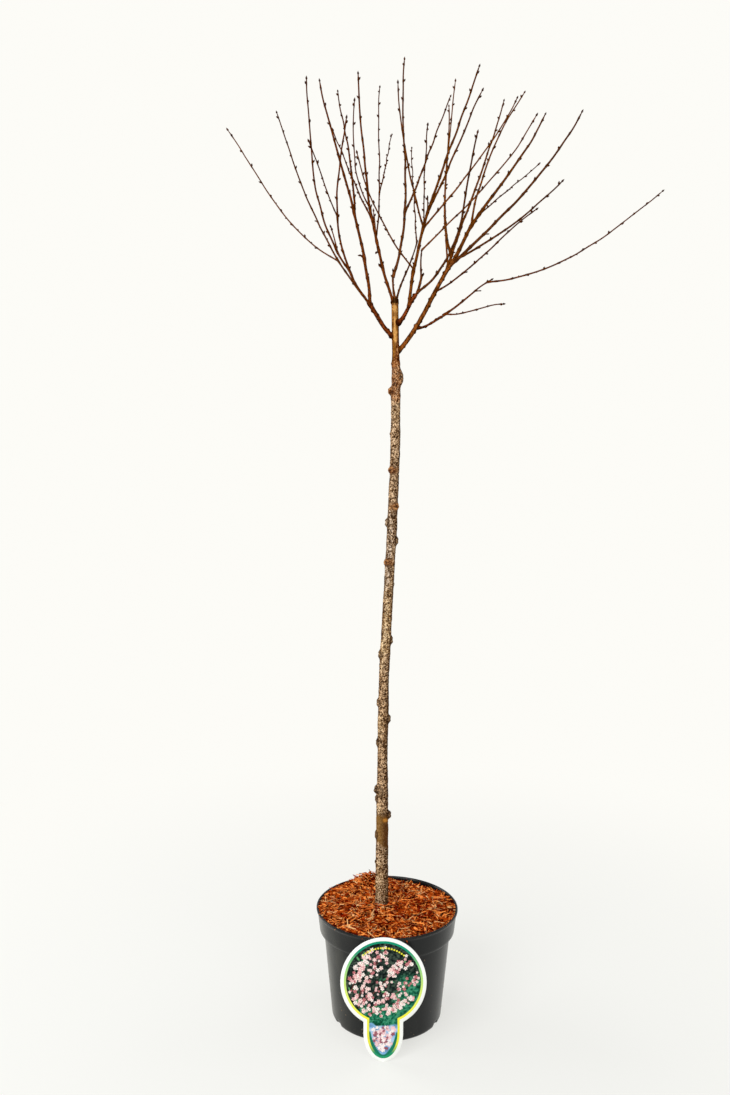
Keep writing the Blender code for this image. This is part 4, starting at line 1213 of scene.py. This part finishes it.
def shoot_surfaces(grown, sides, levels, chance):
    """The tubes of a mass's shoots, and a tone for each face, darker towards the tip and round each bud, paler where
    it faces forwards as a painted highlight and darker on the flanks as painted shade. Each shoot is a little darker
    or lighter as a whole, and each face by a spray of one level up or down."""
    surfaces, quad_tones, end_tones = [], [], []
    for line, radii, share, _ in grown:
        rings = tube_rings(line, radii, sides)
        surfaces.append(closed_grid(rings))
        outwards = unit(rings - line[:, None])
        outwards = unit(outwards[:-1] + np.roll(outwards[:-1], -1, axis=1))
        place = (np.arange(len(share) - 1) + 0.5) / PATH_STEPS
        from_node = np.abs(place - 0.5 - np.round(place - 0.5))
        depth = 1.2 + (levels - 4.5) * share[:-1] + chance.uniform(-0.7, 0.7)
        depth += NODE_DARKNESS * np.exp(-((from_node / 0.09) ** 2))
        spray = np.random.default_rng(chance.getrandbits(32)).normal(0, 0.85, (len(depth), sides))
        spray -= SHOOT_PAINTED_LIGHT * painted_front_light(outwards)
        picked = np.clip(np.round(depth[:, None] + spray), 0, levels - 1).astype(int)
        quad_tones.append(picked.ravel())
        end_tones.append(np.repeat([levels - 1, levels - 1], sides))
    return joined(surfaces), np.concatenate([*quad_tones, *end_tones])


def bud_places(grown, near_by_shoot, size, chance):
    """Origins, directions and sizes of the buds: three at each place of the rule, the outer two
    smaller and turned aside, one at each spur's tip and each shoot's tip, and low on the shoot a
    small one half-way to the next place, unless it would come near a limb or another shoot."""
    rows = []
    for (line, radii, _, buds), (others, near_radii) in zip(grown, near_by_shoot):
        tip_direction = unit(line[-1] - line[-3])
        rows.append((line[-1] - tip_direction * 1.1 * size, tip_direction, 1.1))
        for bud in buds:
            if bud.length > BUD_LENGTH:
                rows.append((bud.place + bud.direction * (bud.length - 0.8 * size), bud.direction, 0.8))
                continue
            aside = unit(np.cross(bud.direction, line[-1] - line[0]))
            outwards = unit(np.cross(line[-1] - line[0], aside))
            radius = radii[np.argmin(np.linalg.norm(line - bud.place, axis=1))]
            place = bud.place + outwards * BUD_OUTSET * radius
            rows.append((place, bud.direction, 1.0))
            for way in (-1, 1):
                rows.append((place + aside * way * 0.0005, unit(bud.direction + aside * way * 0.38), 0.62))
        for index in range(PATH_STEPS, int(HALF_WAY_BUDS * len(line)), PATH_STEPS):
            along = unit(line[index + 1] - line[index - 1])
            turn = chance.uniform(0, 2 * math.pi)
            across = np.array([math.cos(turn), math.sin(turn), 0.0])
            across = unit(across - along * (across @ along))
            direction = unit(across * 0.75 + along)
            place = line[index] + across * radii[index] * BUD_OUTSET
            if (np.linalg.norm(others - place, axis=1) - near_radii).min() > BUD_CLEARANCE:
                rows.append((place, direction, 0.62))
    origins, directions, scales = (np.array(column) for column in zip(*rows))
    return origins, directions, scales


def crown_growth():
    """For each mass, its shoots as grown by the rule, and what lies near each of them."""
    limbs = limb_lines()
    crown = crown_lines(limbs)
    growth = {}
    for mass, shoots in MASSES.items():
        near = [places_near((mass, shoot.name), limbs, crown) for shoot in shoots]
        growth[mass] = (grown_mass(mass, limbs, crown), near)
    return growth


def twig_shape():
    """A short tube from 0 to 1 along its axis that narrows and swells again at its end."""
    angles = 2 * math.pi * np.arange(6) / 6
    heights, radii = np.array([0.0, 0.3, 0.6, 0.85, 1.0]), np.array([1.25, 0.95, 0.80, 0.88, 0.55])
    rings = np.stack([
        radii[:, None] * np.cos(angles), radii[:, None] * np.sin(angles),
        np.broadcast_to(heights[:, None], (5, 6)),
    ], axis=-1)
    return closed_grid(rings)


def dealt(template, tones):
    """The tone of each face of a joined array, from the tone of each copy."""
    return np.concatenate([np.repeat(tones, len(template.quads)), np.repeat(tones, len(template.triangles))])


# Properties


def colour_field(name, description, default):
    return FloatVectorProperty(
        name=name, description=description, subtype="COLOR", default=default, min=0, max=1
    )


class PotLooks(bpy.types.PropertyGroup):
    """The pot's plastic, the dirt on it and the painted sheen on its sides."""

    colour: colour_field("Plastic", "Colour of the pot's plastic", (0.0050, 0.0058, 0.0057))
    roughness: FloatProperty(
        name="Roughness", description="Roughness of the plastic", subtype="FACTOR", default=0.27, min=0, max=1
    )
    specks: IntProperty(name="Specks", description="How many specks of dirt cling to the wall", default=170, min=1)
    dirt: colour_field("Dirt", "Colour of the specks of dirt", (0.150, 0.110, 0.070))
    # A pale sheen painted on the pot's sides as a reflection of the bright surroundings.
    sheen: colour_field("Sheen", "Colour of the film of dust on the pot's sides", (0.100, 0.098, 0.078))


class MulchLooks(bpy.types.PropertyGroup):
    """The bark mulch's pieces and colours."""

    fibres: IntProperty(name="Fibres", description="How many long fibres lie on top", default=3900, min=1)
    chips: IntProperty(name="Chips", description="How many broad chips lie among them", default=1900, min=1)
    crumbs: IntProperty(name="Crumbs", description="How many crumbs lie under them", default=2200, min=1)
    fibre_length: FloatProperty(
        name="Longest fibre", description="Length of the longest fibre", default=0.023, unit="LENGTH"
    )
    bright: colour_field("Bright", "Colour of fresh orange pieces", (0.950, 0.300, 0.062))
    middle: colour_field("Middle", "Colour of most pieces", (0.440, 0.062, 0.004))
    deep: colour_field("Deep", "Colour of red-brown pieces", (0.200, 0.010, 0.0006))
    dark: colour_field("Dark", "Colour of damp pieces", (0.040, 0.0008, 0.0002))
    pale: colour_field("Pale", "Colour of the few pieces of bare wood", (0.880, 0.490, 0.205))


class LabelLooks(bpy.types.PropertyGroup):
    """The picture label's print."""

    card: colour_field("Card", "Colour of the label's plain card", (0.87, 0.88, 0.84))
    border: FloatProperty(name="Border", description="Width of the white border", default=0.0047, unit="LENGTH")
    band: FloatProperty(name="Band", description="Width of the band inside it", default=0.0030, unit="LENGTH")
    blossoms: IntProperty(name="Blossoms", description="How many blossoms the picture has", default=330, min=1)


class BarkLooks(bpy.types.PropertyGroup):
    """The bark of trunk, leader and boughs."""

    relief: FloatProperty(
        name="Trunk relief", description="How far the trunk's ridges stand out", default=0.00034,
        unit="LENGTH", precision=5,
    )
    bough_relief: FloatProperty(
        name="Bough relief", description="How far the boughs' ridges stand out", default=0.00016,
        unit="LENGTH", precision=5,
    )
    pores: IntProperty(name="Pores", description="How many pale pores the trunk has", default=1500, min=1)
    pore_colour: colour_field("Pore colour", "Colour of the trunk's pores", (0.640, 0.455, 0.280))
    ochre: colour_field("Ochre bough", "Bark colour of the right bough", (0.100, 0.028, 0.0035))
    red: colour_field("Red boughs", "Bark colour of the other boughs", (0.070, 0.013, 0.0015))


class ShootLooks(bpy.types.PropertyGroup):
    """The crown's shoots and buds."""

    sides: IntProperty(name="Sides", description="Sides of each shoot's tube", default=10, min=3)
    red: colour_field("Red shoots", "Bark colour of the red-brown shoots", (0.092, 0.021, 0.003))
    ochre: colour_field("Ochre shoots", "Bark colour of the ochre-brown shoots", (0.108, 0.029, 0.003))
    dusky: colour_field("Dusky shoots", "Bark colour of the dull brown shoots", (0.088, 0.025, 0.005))
    bud_size: FloatProperty(name="Bud length", description="Length of a full bud", default=0.0043, unit="LENGTH")
    bud: colour_field("Buds", "Colour of the buds' scales", (0.034, 0.010, 0.004))


class StageLooks(bpy.types.PropertyGroup):
    """The floor and the light."""

    floor: colour_field("Floor", "Colour of the floor round the plant", (0.77, 0.78, 0.755))
    backdrop: colour_field("Backdrop", "Colour that the floor fades into", (0.980, 0.972, 0.930))
    key_power: FloatProperty(name="Key light", description="Power of the large soft light", default=80.0, unit="POWER")
    sky: FloatProperty(name="Sky", description="Strength of the even light all round", default=0.50)
    glow: FloatProperty(
        name="Floor glow", description="How much of the floor by the plant shows the backdrop's colour",
        subtype="FACTOR", default=0.62, min=0, max=1,
    )


GROUPS = {
    "almond_pot": PotLooks, "almond_mulch": MulchLooks, "almond_label": LabelLooks,
    "almond_bark": BarkLooks, "almond_shoots": ShootLooks, "almond_stage": StageLooks,
}


# Operators


class MakePot(bpy.types.Operator):
    """Makes the pot: a thin tapered wall with a stepped collar, a lip and drain notches."""

    bl_idname = "almond.make_pot"
    bl_label = "Pot"

    def execute(self, context):
        looks = context.scene.almond_pot
        scuffs_and_sheen = mottled_material("pot_plastic", looks.colour, ((0.005, 0.006, 0.006), 0.5),
                                   ((0.024, 0.025, 0.024), 0.3), 34.0, looks.roughness, 0.00005, 0.24, (1, 1, 0.4),
                                   "sheen")
        surface = pot_surface()
        piece = add_piece("pot_body", surface, [scuffs_and_sheen])
        # Painted reflection: a pale sheen on the pot's left side and less of it on its right.
        paint(piece, "sheen", painted_sheen_tones(surface.points, looks.colour, looks.sheen))
        keep(piece, "pot_plastic", "pot")
        keep(self.specks(looks), "pot_plastic")
        return {"FINISHED"}

    def specks(self, looks):
        """Low pads of dirt on the wall below the collar, most of them low down."""
        chance = np.random.default_rng(91)
        height = 0.006 + (POT_HEIGHT - COLLAR_HEIGHT - 0.012) * chance.uniform(0, 1, looks.specks) ** 1.7
        bearing = chance.uniform(0, 2 * math.pi, looks.specks)
        outwards = np.stack([np.cos(bearing), np.sin(bearing), 0 * height], axis=-1)
        radius = pot_radius(height) - 0.0001
        origins = outwards * radius[:, None] + np.stack([0 * height, 0 * height, height], axis=-1)
        wide = chance.uniform(0.0003, 0.0011, looks.specks)
        sizes = np.stack([wide, wide * chance.uniform(0.6, 1.6, looks.specks), np.full(looks.specks, 0.0004)], axis=-1)
        specks = copies(pad_shape(), origins, frames_along(outwards), sizes)
        return add_piece("pot_specks", specks, [plain_material("dried_dirt", looks.dirt, 0.95, 0.2)])


class MakeMulch(bpy.types.Operator):
    """Makes the root ball and strews fibres, chips and crumbs of bark over it."""

    bl_idname = "almond.make_mulch"
    bl_label = "Bark mulch"

    def execute(self, context):
        looks = context.scene.almond_mulch
        soil = mottled_material("mulch_bed", looks.deep, (looks.dark, 0.9), (looks.middle, 0.5), 320.0, 0.95, 0.0015)
        keep(add_piece("mulch_bed", root_ball_surface(), [soil]), "mulch", "bark_mulch")
        colours = (looks.bright, looks.middle, looks.deep, looks.dark, looks.pale)
        tones = [plain_material(f"mulch_tone_{index + 1}", colour, 0.85, 0.0) for index, colour in enumerate(colours)]
        kinds = (
            ("mulch_crumbs", looks.crumbs, 0.006, 0.0015, 0.05, 61, 0.0013, (0.14, 0.28, 0.30, 0.25, 0.03)),
            ("mulch_chips", looks.chips, 0.011, 0.0019, 0.12, 62, 0.0028, (0.26, 0.28, 0.22, 0.18, 0.06)),
            ("mulch_fibres", looks.fibres, looks.fibre_length, 0.0009, 1.10, 63, 0.0032, (0.28, 0.27, 0.20, 0.17, 0.08)),
        )
        for name, count, longest, thickness, bend, seed, lift, shares in kinds:
            surface = mulch_pieces(count, longest, thickness, bend, seed, lift)
            picked = np.random.default_rng(seed + 100).choice(len(tones), count, p=shares)
            piece = add_piece(name, surface, tones, smooth=False, kinds=dealt(sliver_shape(bend), picked))
            keep(piece, "mulch")
        return {"FINISHED"}


class MakeLabel(bpy.types.Operator):
    """Makes the picture label: a plain card with a coloured band and a printed garland of blossom."""

    bl_idname = "almond.make_label"
    bl_label = "Picture label"

    def execute(self, context):
        looks = context.scene.almond_label
        card = plain_material("label_card", looks.card, 0.32, 0.2)
        keep(add_piece("label_card", card_surface(), [card]), "label_card", "plant_label")
        for order, (name, inset, colours) in enumerate((
            ("label_band", looks.border, band_colours), ("label_ground", looks.border + looks.band, ground_colours),
        )):
            surface, across, up = printed_patch(inset, PRINT_LIFT * (order + 1))
            ink = mottled_material(name, (0.5, 0.5, 0.5), ((0, 0, 0), 0.10), ((1, 1, 1), 0.015), 700.0, 0.35, 0.0,
                                   attribute="print")
            piece = add_piece(name, surface, [ink])
            paint(piece, "print", colours(across, up))
            keep(piece, "label_card")
        self.add_garland(looks)
        return {"FINISHED"}

    def add_garland(self, looks):
        chance = np.random.default_rng(71)
        lines = garland_lines()
        bough = plain_material("print_bough", (0.090, 0.030, 0.022), 0.35, 0.12)
        ribbons = joined([ribbon(line, 0.0009, PRINT_LIFT * 3) for line in lines])
        keep(add_piece("label_boughs", ribbons, [bough]), "label_card")
        middle = np.array([0.0, LABEL_LENGTH - LABEL_HEAD_RADIUS])
        room = LABEL_HEAD_RADIUS - looks.border - looks.band - 0.0006
        for name, count, template, spread, sizes, lift, colours in (
            ("label_leaves", 60, leaf_surface(), 0.0050, (0.004, 0.008), 4,
             ((0.030, 0.190, 0.080), (0.090, 0.300, 0.110), (0.015, 0.100, 0.050))),
            ("label_blossoms", looks.blossoms, petal_surface(), 0.0044, (0.0032, 0.0066), 6,
             ((0.820, 0.480, 0.470), (0.860, 0.660, 0.610), (0.890, 0.800, 0.740), (0.480, 0.160, 0.170))),
        ):
            line = np.vstack(lines)
            places = line[chance.integers(0, len(line), count)] + chance.normal(0, spread, (count, 2))
            size = chance.uniform(*sizes, count)
            inside = np.linalg.norm(places - middle, axis=1) + size / 2 < room
            places, size = places[inside], size[inside]
            turns = chance.uniform(0, 2 * math.pi, len(size))
            lifts = PRINT_LIFT * lift + 2e-6 * np.arange(len(size))
            tones = [plain_material(f"{name}_{index + 1}", colour, 0.35, 0.12) for index, colour in enumerate(colours)]
            picked = chance.integers(0, len(colours), len(size))
            surface = print_copies(template, places, size, turns, lifts)
            keep(add_piece(name, surface, tones, kinds=dealt(template, picked)), "label_card")
        hearts = print_copies(round_surface(10), places, 0.20 * size, turns, lifts + 1e-6)
        heart = plain_material("print_heart", (0.42, 0.07, 0.09), 0.35, 0.12)
        keep(add_piece("label_hearts", hearts, [heart]), "label_card")
        self.add_foot_blossoms(looks)

    def add_foot_blossoms(self, looks):
        """Blossoms strewn over the blue tail and an arc of small dots round the head's top."""
        chance = np.random.default_rng(72)
        places = np.stack([chance.uniform(-0.016, 0.016, 150), chance.uniform(0.012, 0.046, 150)], axis=-1)
        room = label_half_width(places[:, 1], looks.border + looks.band) - 0.0035
        inside = (np.abs(places[:, 0]) < room) & (places[:, 1] > foot_edge(places[:, 0]) + 0.0022)
        places = places[inside]
        sizes = chance.uniform(0.0034, 0.0064, len(places))
        pinks = [plain_material(f"foot_blossom_{index + 1}", colour, 0.35, 0.12)
                 for index, colour in enumerate(((0.800, 0.520, 0.530), (0.880, 0.790, 0.760), (0.280, 0.075, 0.100)))]
        lifts = PRINT_LIFT * 7 + 2e-6 * np.arange(len(places))
        petals = print_copies(petal_surface(), places, sizes, chance.uniform(0, 6, len(places)), lifts)
        picked = chance.choice(3, len(places), p=(0.35, 0.40, 0.25))
        keep(add_piece("label_foot_blossoms", petals, pinks, kinds=dealt(petal_surface(), picked)), "label_card")
        angles = np.linspace(math.radians(52), math.radians(128), 17)
        radius = LABEL_HEAD_RADIUS - looks.border - looks.band - 0.0060
        middle = LABEL_LENGTH - LABEL_HEAD_RADIUS
        dots = np.stack([radius * np.cos(angles), middle + radius * np.sin(angles)], axis=-1)
        yellow = plain_material("print_dots", (0.72, 0.68, 0.04), 0.35, 0.12)
        surface = print_copies(round_surface(12), dots, np.full(17, 0.0026), 0 * angles, PRINT_LIFT * 19 + 0 * angles)
        keep(add_piece("label_dots", surface, [yellow]), "label_card")


class MakeTrunk(bpy.types.Operator):
    """Makes the trunk's bark with its ridges, pruning knots, graft and pale pores."""

    bl_idname = "almond.make_trunk"
    bl_label = "Trunk"

    def execute(self, context):
        looks = context.scene.almond_bark
        surface, colours = trunk_surface(looks.relief)
        bark = mottled_material("trunk_bark", GREY_BARK[1], ((0.017, 0.005, 0.001), 0.90), (looks.pore_colour, 0.55),
                                640.0, 0.85, 0.00045, stretch=(1, 1, 0.8), attribute="bark_tone")
        piece = add_piece("trunk_bark", surface, [bark])
        paint(piece, "bark_tone", colours)
        keep(piece, "trunk_bark", "trunk")
        keep(self.pores(looks), "trunk_bark")
        return {"FINISHED"}

    def pores(self, looks):
        """Low pads on the bark, wider than tall, even over its height and bearing. The smooth patch
        under the lowest large knot has none."""
        chance = np.random.default_rng(81)
        z = chance.uniform(0.172, 0.905, looks.pores)
        bearing = chance.uniform(0, 2 * math.pi, looks.pores)
        bare = (z > 0.250) & (z < 0.300) & (np.sin(bearing) < 0.4)
        z, bearing = z[~bare], bearing[~bare]
        outwards = np.stack([np.cos(bearing), np.sin(bearing), 0 * z], axis=-1)
        middle = np.stack([trunk_x(z), 0 * z, z], axis=-1)
        origins = middle + outwards * (np.interp(z, TRUNK_HEIGHTS, TRUNK_RADII) - 0.00005)[:, None]
        width, height = chance.uniform(0.0004, 0.0012, len(z)), chance.uniform(0.0003, 0.0005, len(z))
        sizes = np.stack([width, height, np.full(len(z), 0.0005)], axis=-1)
        pores = copies(pad_shape(), origins, frames_along(outwards), sizes)
        return add_piece("trunk_pores", pores, [plain_material("pore_cork", looks.pore_colour, 0.9, 0.0)])


class MakeBoughs(bpy.types.Operator):
    """Makes the leader's stump and the boughs, with their old bud scars."""

    bl_idname = "almond.make_boughs"
    bl_label = "Leader and boughs"

    def execute(self, context):
        looks = context.scene.almond_bark
        hues = {"right_bough": looks.ochre}
        fleck = tuple(2 * np.array(looks.ochre))
        for name, (line, (base, tip)) in limb_lines().items():
            if name == "leader":
                line = np.vstack([line[0] - [0, 0, 0.006], line])
                made = limb_surface(line, base, tip, looks.bough_relief, knobs=False, rounded=0.0010)
                leader_radius = base
                colours = leader_colours(*made[1:])
            else:
                knobbly = name == "middle_bough"
                buried = 0.0030 if name == "low_right_bough" else leader_radius
                made = limb_surface(line, base, tip, looks.bough_relief, 0.70 if knobbly else 0.22, buried)
                hue = np.array(hues.get(name, looks.red))
                tones = (0.20 * hue, hue, 3.2 * hue + 0.004)
                colours = limb_colours(*made[1:], tones, buried, 0.0060 if knobbly else 0.0035)
            bark = mottled_material(name + "_bark", looks.ochre, ((0.022, 0.004, 0.001), 0.50), (fleck, 0.20),
                                    700.0, 0.55, 0.00020, 0.0, (1, 1, 0.6), "bark_tone")
            piece = add_piece(name + "_bark", made[0], [bark])
            paint(piece, "bark_tone", colours)
            keep(piece, "young_bark", name)
        return {"FINISHED"}


class MakeShoots(bpy.types.Operator):
    """Makes the crown's bare shoots, mass by mass, by the part's own rule."""

    bl_idname = "almond.make_shoots"
    bl_label = "Shoots"

    def execute(self, context):
        looks = context.scene.almond_shoots
        barks = {"red": looks.red, "ochre": looks.ochre, "dusky": looks.dusky}
        tones = {
            kind: [plain_material(f"{kind}_shoot_{index + 1}", tuple(np.array(colour) * depth), 0.6, 0.0)
                   for index, depth in enumerate(SHOOT_DEPTHS)]
            for kind, colour in barks.items()
        }
        for mass, (grown, _) in crown_growth().items():
            kind = SHOOT_BARKS.get(mass, "red")
            surface, kinds = shoot_surfaces(grown, looks.sides, len(SHOOT_DEPTHS), random.Random(mass + " tones"))
            keep(add_piece(mass + "_bark", surface, tones[kind], kinds=kinds), "shoot_bark", mass)
        return {"FINISHED"}


class MakeBuds(bpy.types.Operator):
    """Makes the buds and the short spurs of each mass as joined arrays."""

    bl_idname = "almond.make_buds"
    bl_label = "Buds and spurs"

    def execute(self, context):
        looks = context.scene.almond_shoots
        scales = [plain_material("bud_scale_1", looks.bud, 0.5, 0.05),
                  plain_material("bud_scale_2", tuple(1.9 * np.array(looks.bud)), 0.5, 0.05)]
        twig = plain_material("spur_bark", looks.red, 0.5, 0.05)
        for mass, (grown, near) in crown_growth().items():
            chance = random.Random(mass + " fine")
            origins, directions, scale = bud_places(grown, near, looks.bud_size, chance)
            sizes = np.stack([0.29 * scale, 0.29 * scale, scale], axis=-1) * looks.bud_size
            buds = copies(bud_shape(), origins, frames_along(directions), sizes)
            picked = np.arange(len(origins)) % 2
            keep(add_piece(mass + "_buds", buds, scales, kinds=dealt(bud_shape(), picked)), "shoot_bark")
            spurs = [bud for _, _, _, rows in grown for bud in rows if bud.length > BUD_LENGTH]
            if spurs:
                places, ways = np.array([spur.place for spur in spurs]), np.array([spur.direction for spur in spurs])
                lengths = np.array([spur.length for spur in spurs])
                sizes = np.stack([0 * lengths + 0.0010, 0 * lengths + 0.0010, 0.9 * lengths], axis=-1)
                made = copies(twig_shape(), places, frames_along(ways), sizes)
                keep(add_piece(mass + "_spurs", made, [twig]), "shoot_bark")
        return {"FINISHED"}


class MakeStage(bpy.types.Operator):
    """Makes the pale floor, the soft light and the camera at the photograph's angle."""

    bl_idname = "almond.make_stage"
    bl_label = "Stage"

    def execute(self, context):
        looks = context.scene.almond_stage
        corners = np.array([(-30, -30, 0), (30, -30, 0), (30, 30, 0), (-30, 30, 0)], float)
        plane = Surface(corners, np.array([[0, 1, 2, 3]]), np.empty((0, 3), int))
        add_piece("floor", plane, [self.floor_paint(looks)], smooth=False)
        context.scene.world = self.studio(looks)
        context.scene.view_settings.view_transform = "Standard"
        self.add_light("key_light", (-1.7, -2.6, 2.3), 2.0, looks.key_power)
        self.add_light("fill_light", (1.6, -2.8, 1.8), 2.0, 0.30 * looks.key_power)
        self.add_light("left_light", (-2.3, 0.8, 1.0), 1.6, 0.42 * looks.key_power)
        self.add_light("right_light", (2.3, 0.8, 1.0), 1.6, 0.20 * looks.key_power)
        self.add_camera(context)
        return {"FINISHED"}

    def floor_paint(self, looks):
        """Plain paint with a share of the backdrop's lit colour, into which it fades with the distance
        from the plant."""
        made = plain_material("floor_paint", looks.floor, 0.85, 0.2)
        nodes, links = made.node_tree.nodes, made.node_tree.links
        place, length = nodes.new("ShaderNodeTexCoord"), nodes.new("ShaderNodeVectorMath")
        length.operation = "LENGTH"
        far = nodes.new("ShaderNodeMapRange")
        far.interpolation_type = "SMOOTHSTEP"
        far.inputs["From Min"].default_value = 0.20
        far.inputs["From Max"].default_value = 1.30
        far.inputs["To Min"].default_value = looks.glow
        lit = nodes.new("ShaderNodeEmission")
        lit.inputs["Color"].default_value = (*looks.backdrop, 1.0)
        mix = nodes.new("ShaderNodeMixShader")
        links.new(place.outputs["Object"], length.inputs[0])
        links.new(length.outputs["Value"], far.inputs["Value"])
        links.new(far.outputs["Result"], mix.inputs["Fac"])
        links.new(nodes["Principled BSDF"].outputs["BSDF"], mix.inputs[1])
        links.new(lit.outputs["Emission"], mix.inputs[2])
        links.new(mix.outputs["Shader"], nodes["Material Output"].inputs["Surface"])
        return made

    def studio(self, looks):
        """An even soft light all round, in front of which the camera sees the backdrop's plain colour."""
        world = bpy.data.worlds.new("studio")
        world.use_nodes = True
        nodes, links = world.node_tree.nodes, world.node_tree.links
        light = nodes["Background"]
        light.inputs["Color"].default_value = (0.97, 0.99, 1.0, 1.0)
        light.inputs["Strength"].default_value = looks.sky
        backdrop = nodes.new("ShaderNodeBackground")
        backdrop.inputs["Color"].default_value = (*looks.backdrop, 1.0)
        path, mix = nodes.new("ShaderNodeLightPath"), nodes.new("ShaderNodeMixShader")
        links.new(path.outputs["Is Camera Ray"], mix.inputs["Fac"])
        links.new(light.outputs["Background"], mix.inputs[1])
        links.new(backdrop.outputs["Background"], mix.inputs[2])
        links.new(mix.outputs["Shader"], nodes["World Output"].inputs["Surface"])
        return world

    def add_light(self, name, place, size, power):
        light = bpy.data.lights.new(name, "AREA")
        light.size = size
        light.energy = power
        lamp = bpy.data.objects.new(name, light)
        aim = (Vector((0, 0, 0.6)) - Vector(place)).to_track_quat("-Z", "Y")
        lamp.matrix_world = Matrix.Translation(place) @ aim.to_matrix().to_4x4()
        bpy.context.scene.collection.objects.link(lamp)

    def add_camera(self, context):
        camera = bpy.data.cameras.new("camera")
        camera.lens = 29.0
        holder = bpy.data.objects.new("camera", camera)
        turn = (Matrix.Rotation(math.radians(0.15), 4, "Z") @ Matrix.Rotation(math.radians(90 - 2.66), 4, "X")
                @ Matrix.Rotation(math.radians(0.27), 4, "Z"))
        holder.matrix_world = Matrix.Translation((-0.032, -1.291, 0.754)) @ turn
        context.scene.collection.objects.link(holder)
        context.scene.camera = holder


OPERATORS = (MakePot, MakeMulch, MakeLabel, MakeTrunk, MakeBoughs, MakeShoots, MakeBuds, MakeStage)


class AlmondPanel(bpy.types.Panel):
    """Lists the plant's sizes and colours and the operators that make its pieces."""

    bl_idname = "VIEW3D_PT_almond"
    bl_label = "Flowering almond"
    bl_space_type = "VIEW_3D"
    bl_region_type = "UI"
    bl_category = "Almond"

    def draw(self, context):
        for name, group in GROUPS.items():
            box = self.layout.box()
            for field in group.__annotations__:
                box.prop(getattr(context.scene, name), field)
        for operator in OPERATORS:
            self.layout.operator(operator.bl_idname)


CLASSES = (*GROUPS.values(), *OPERATORS, AlmondPanel)


def register():
    for made in CLASSES:
        bpy.utils.register_class(made)
    for name, group in GROUPS.items():
        setattr(bpy.types.Scene, name, PointerProperty(type=group))


def unregister():
    for name in GROUPS:
        delattr(bpy.types.Scene, name)
    for made in reversed(CLASSES):
        bpy.utils.unregister_class(made)


def main():
    register()
    for operator in OPERATORS:
        family, action = operator.bl_idname.split(".")
        getattr(getattr(bpy.ops, family), action)()


if __name__ == "__main__":
    main()
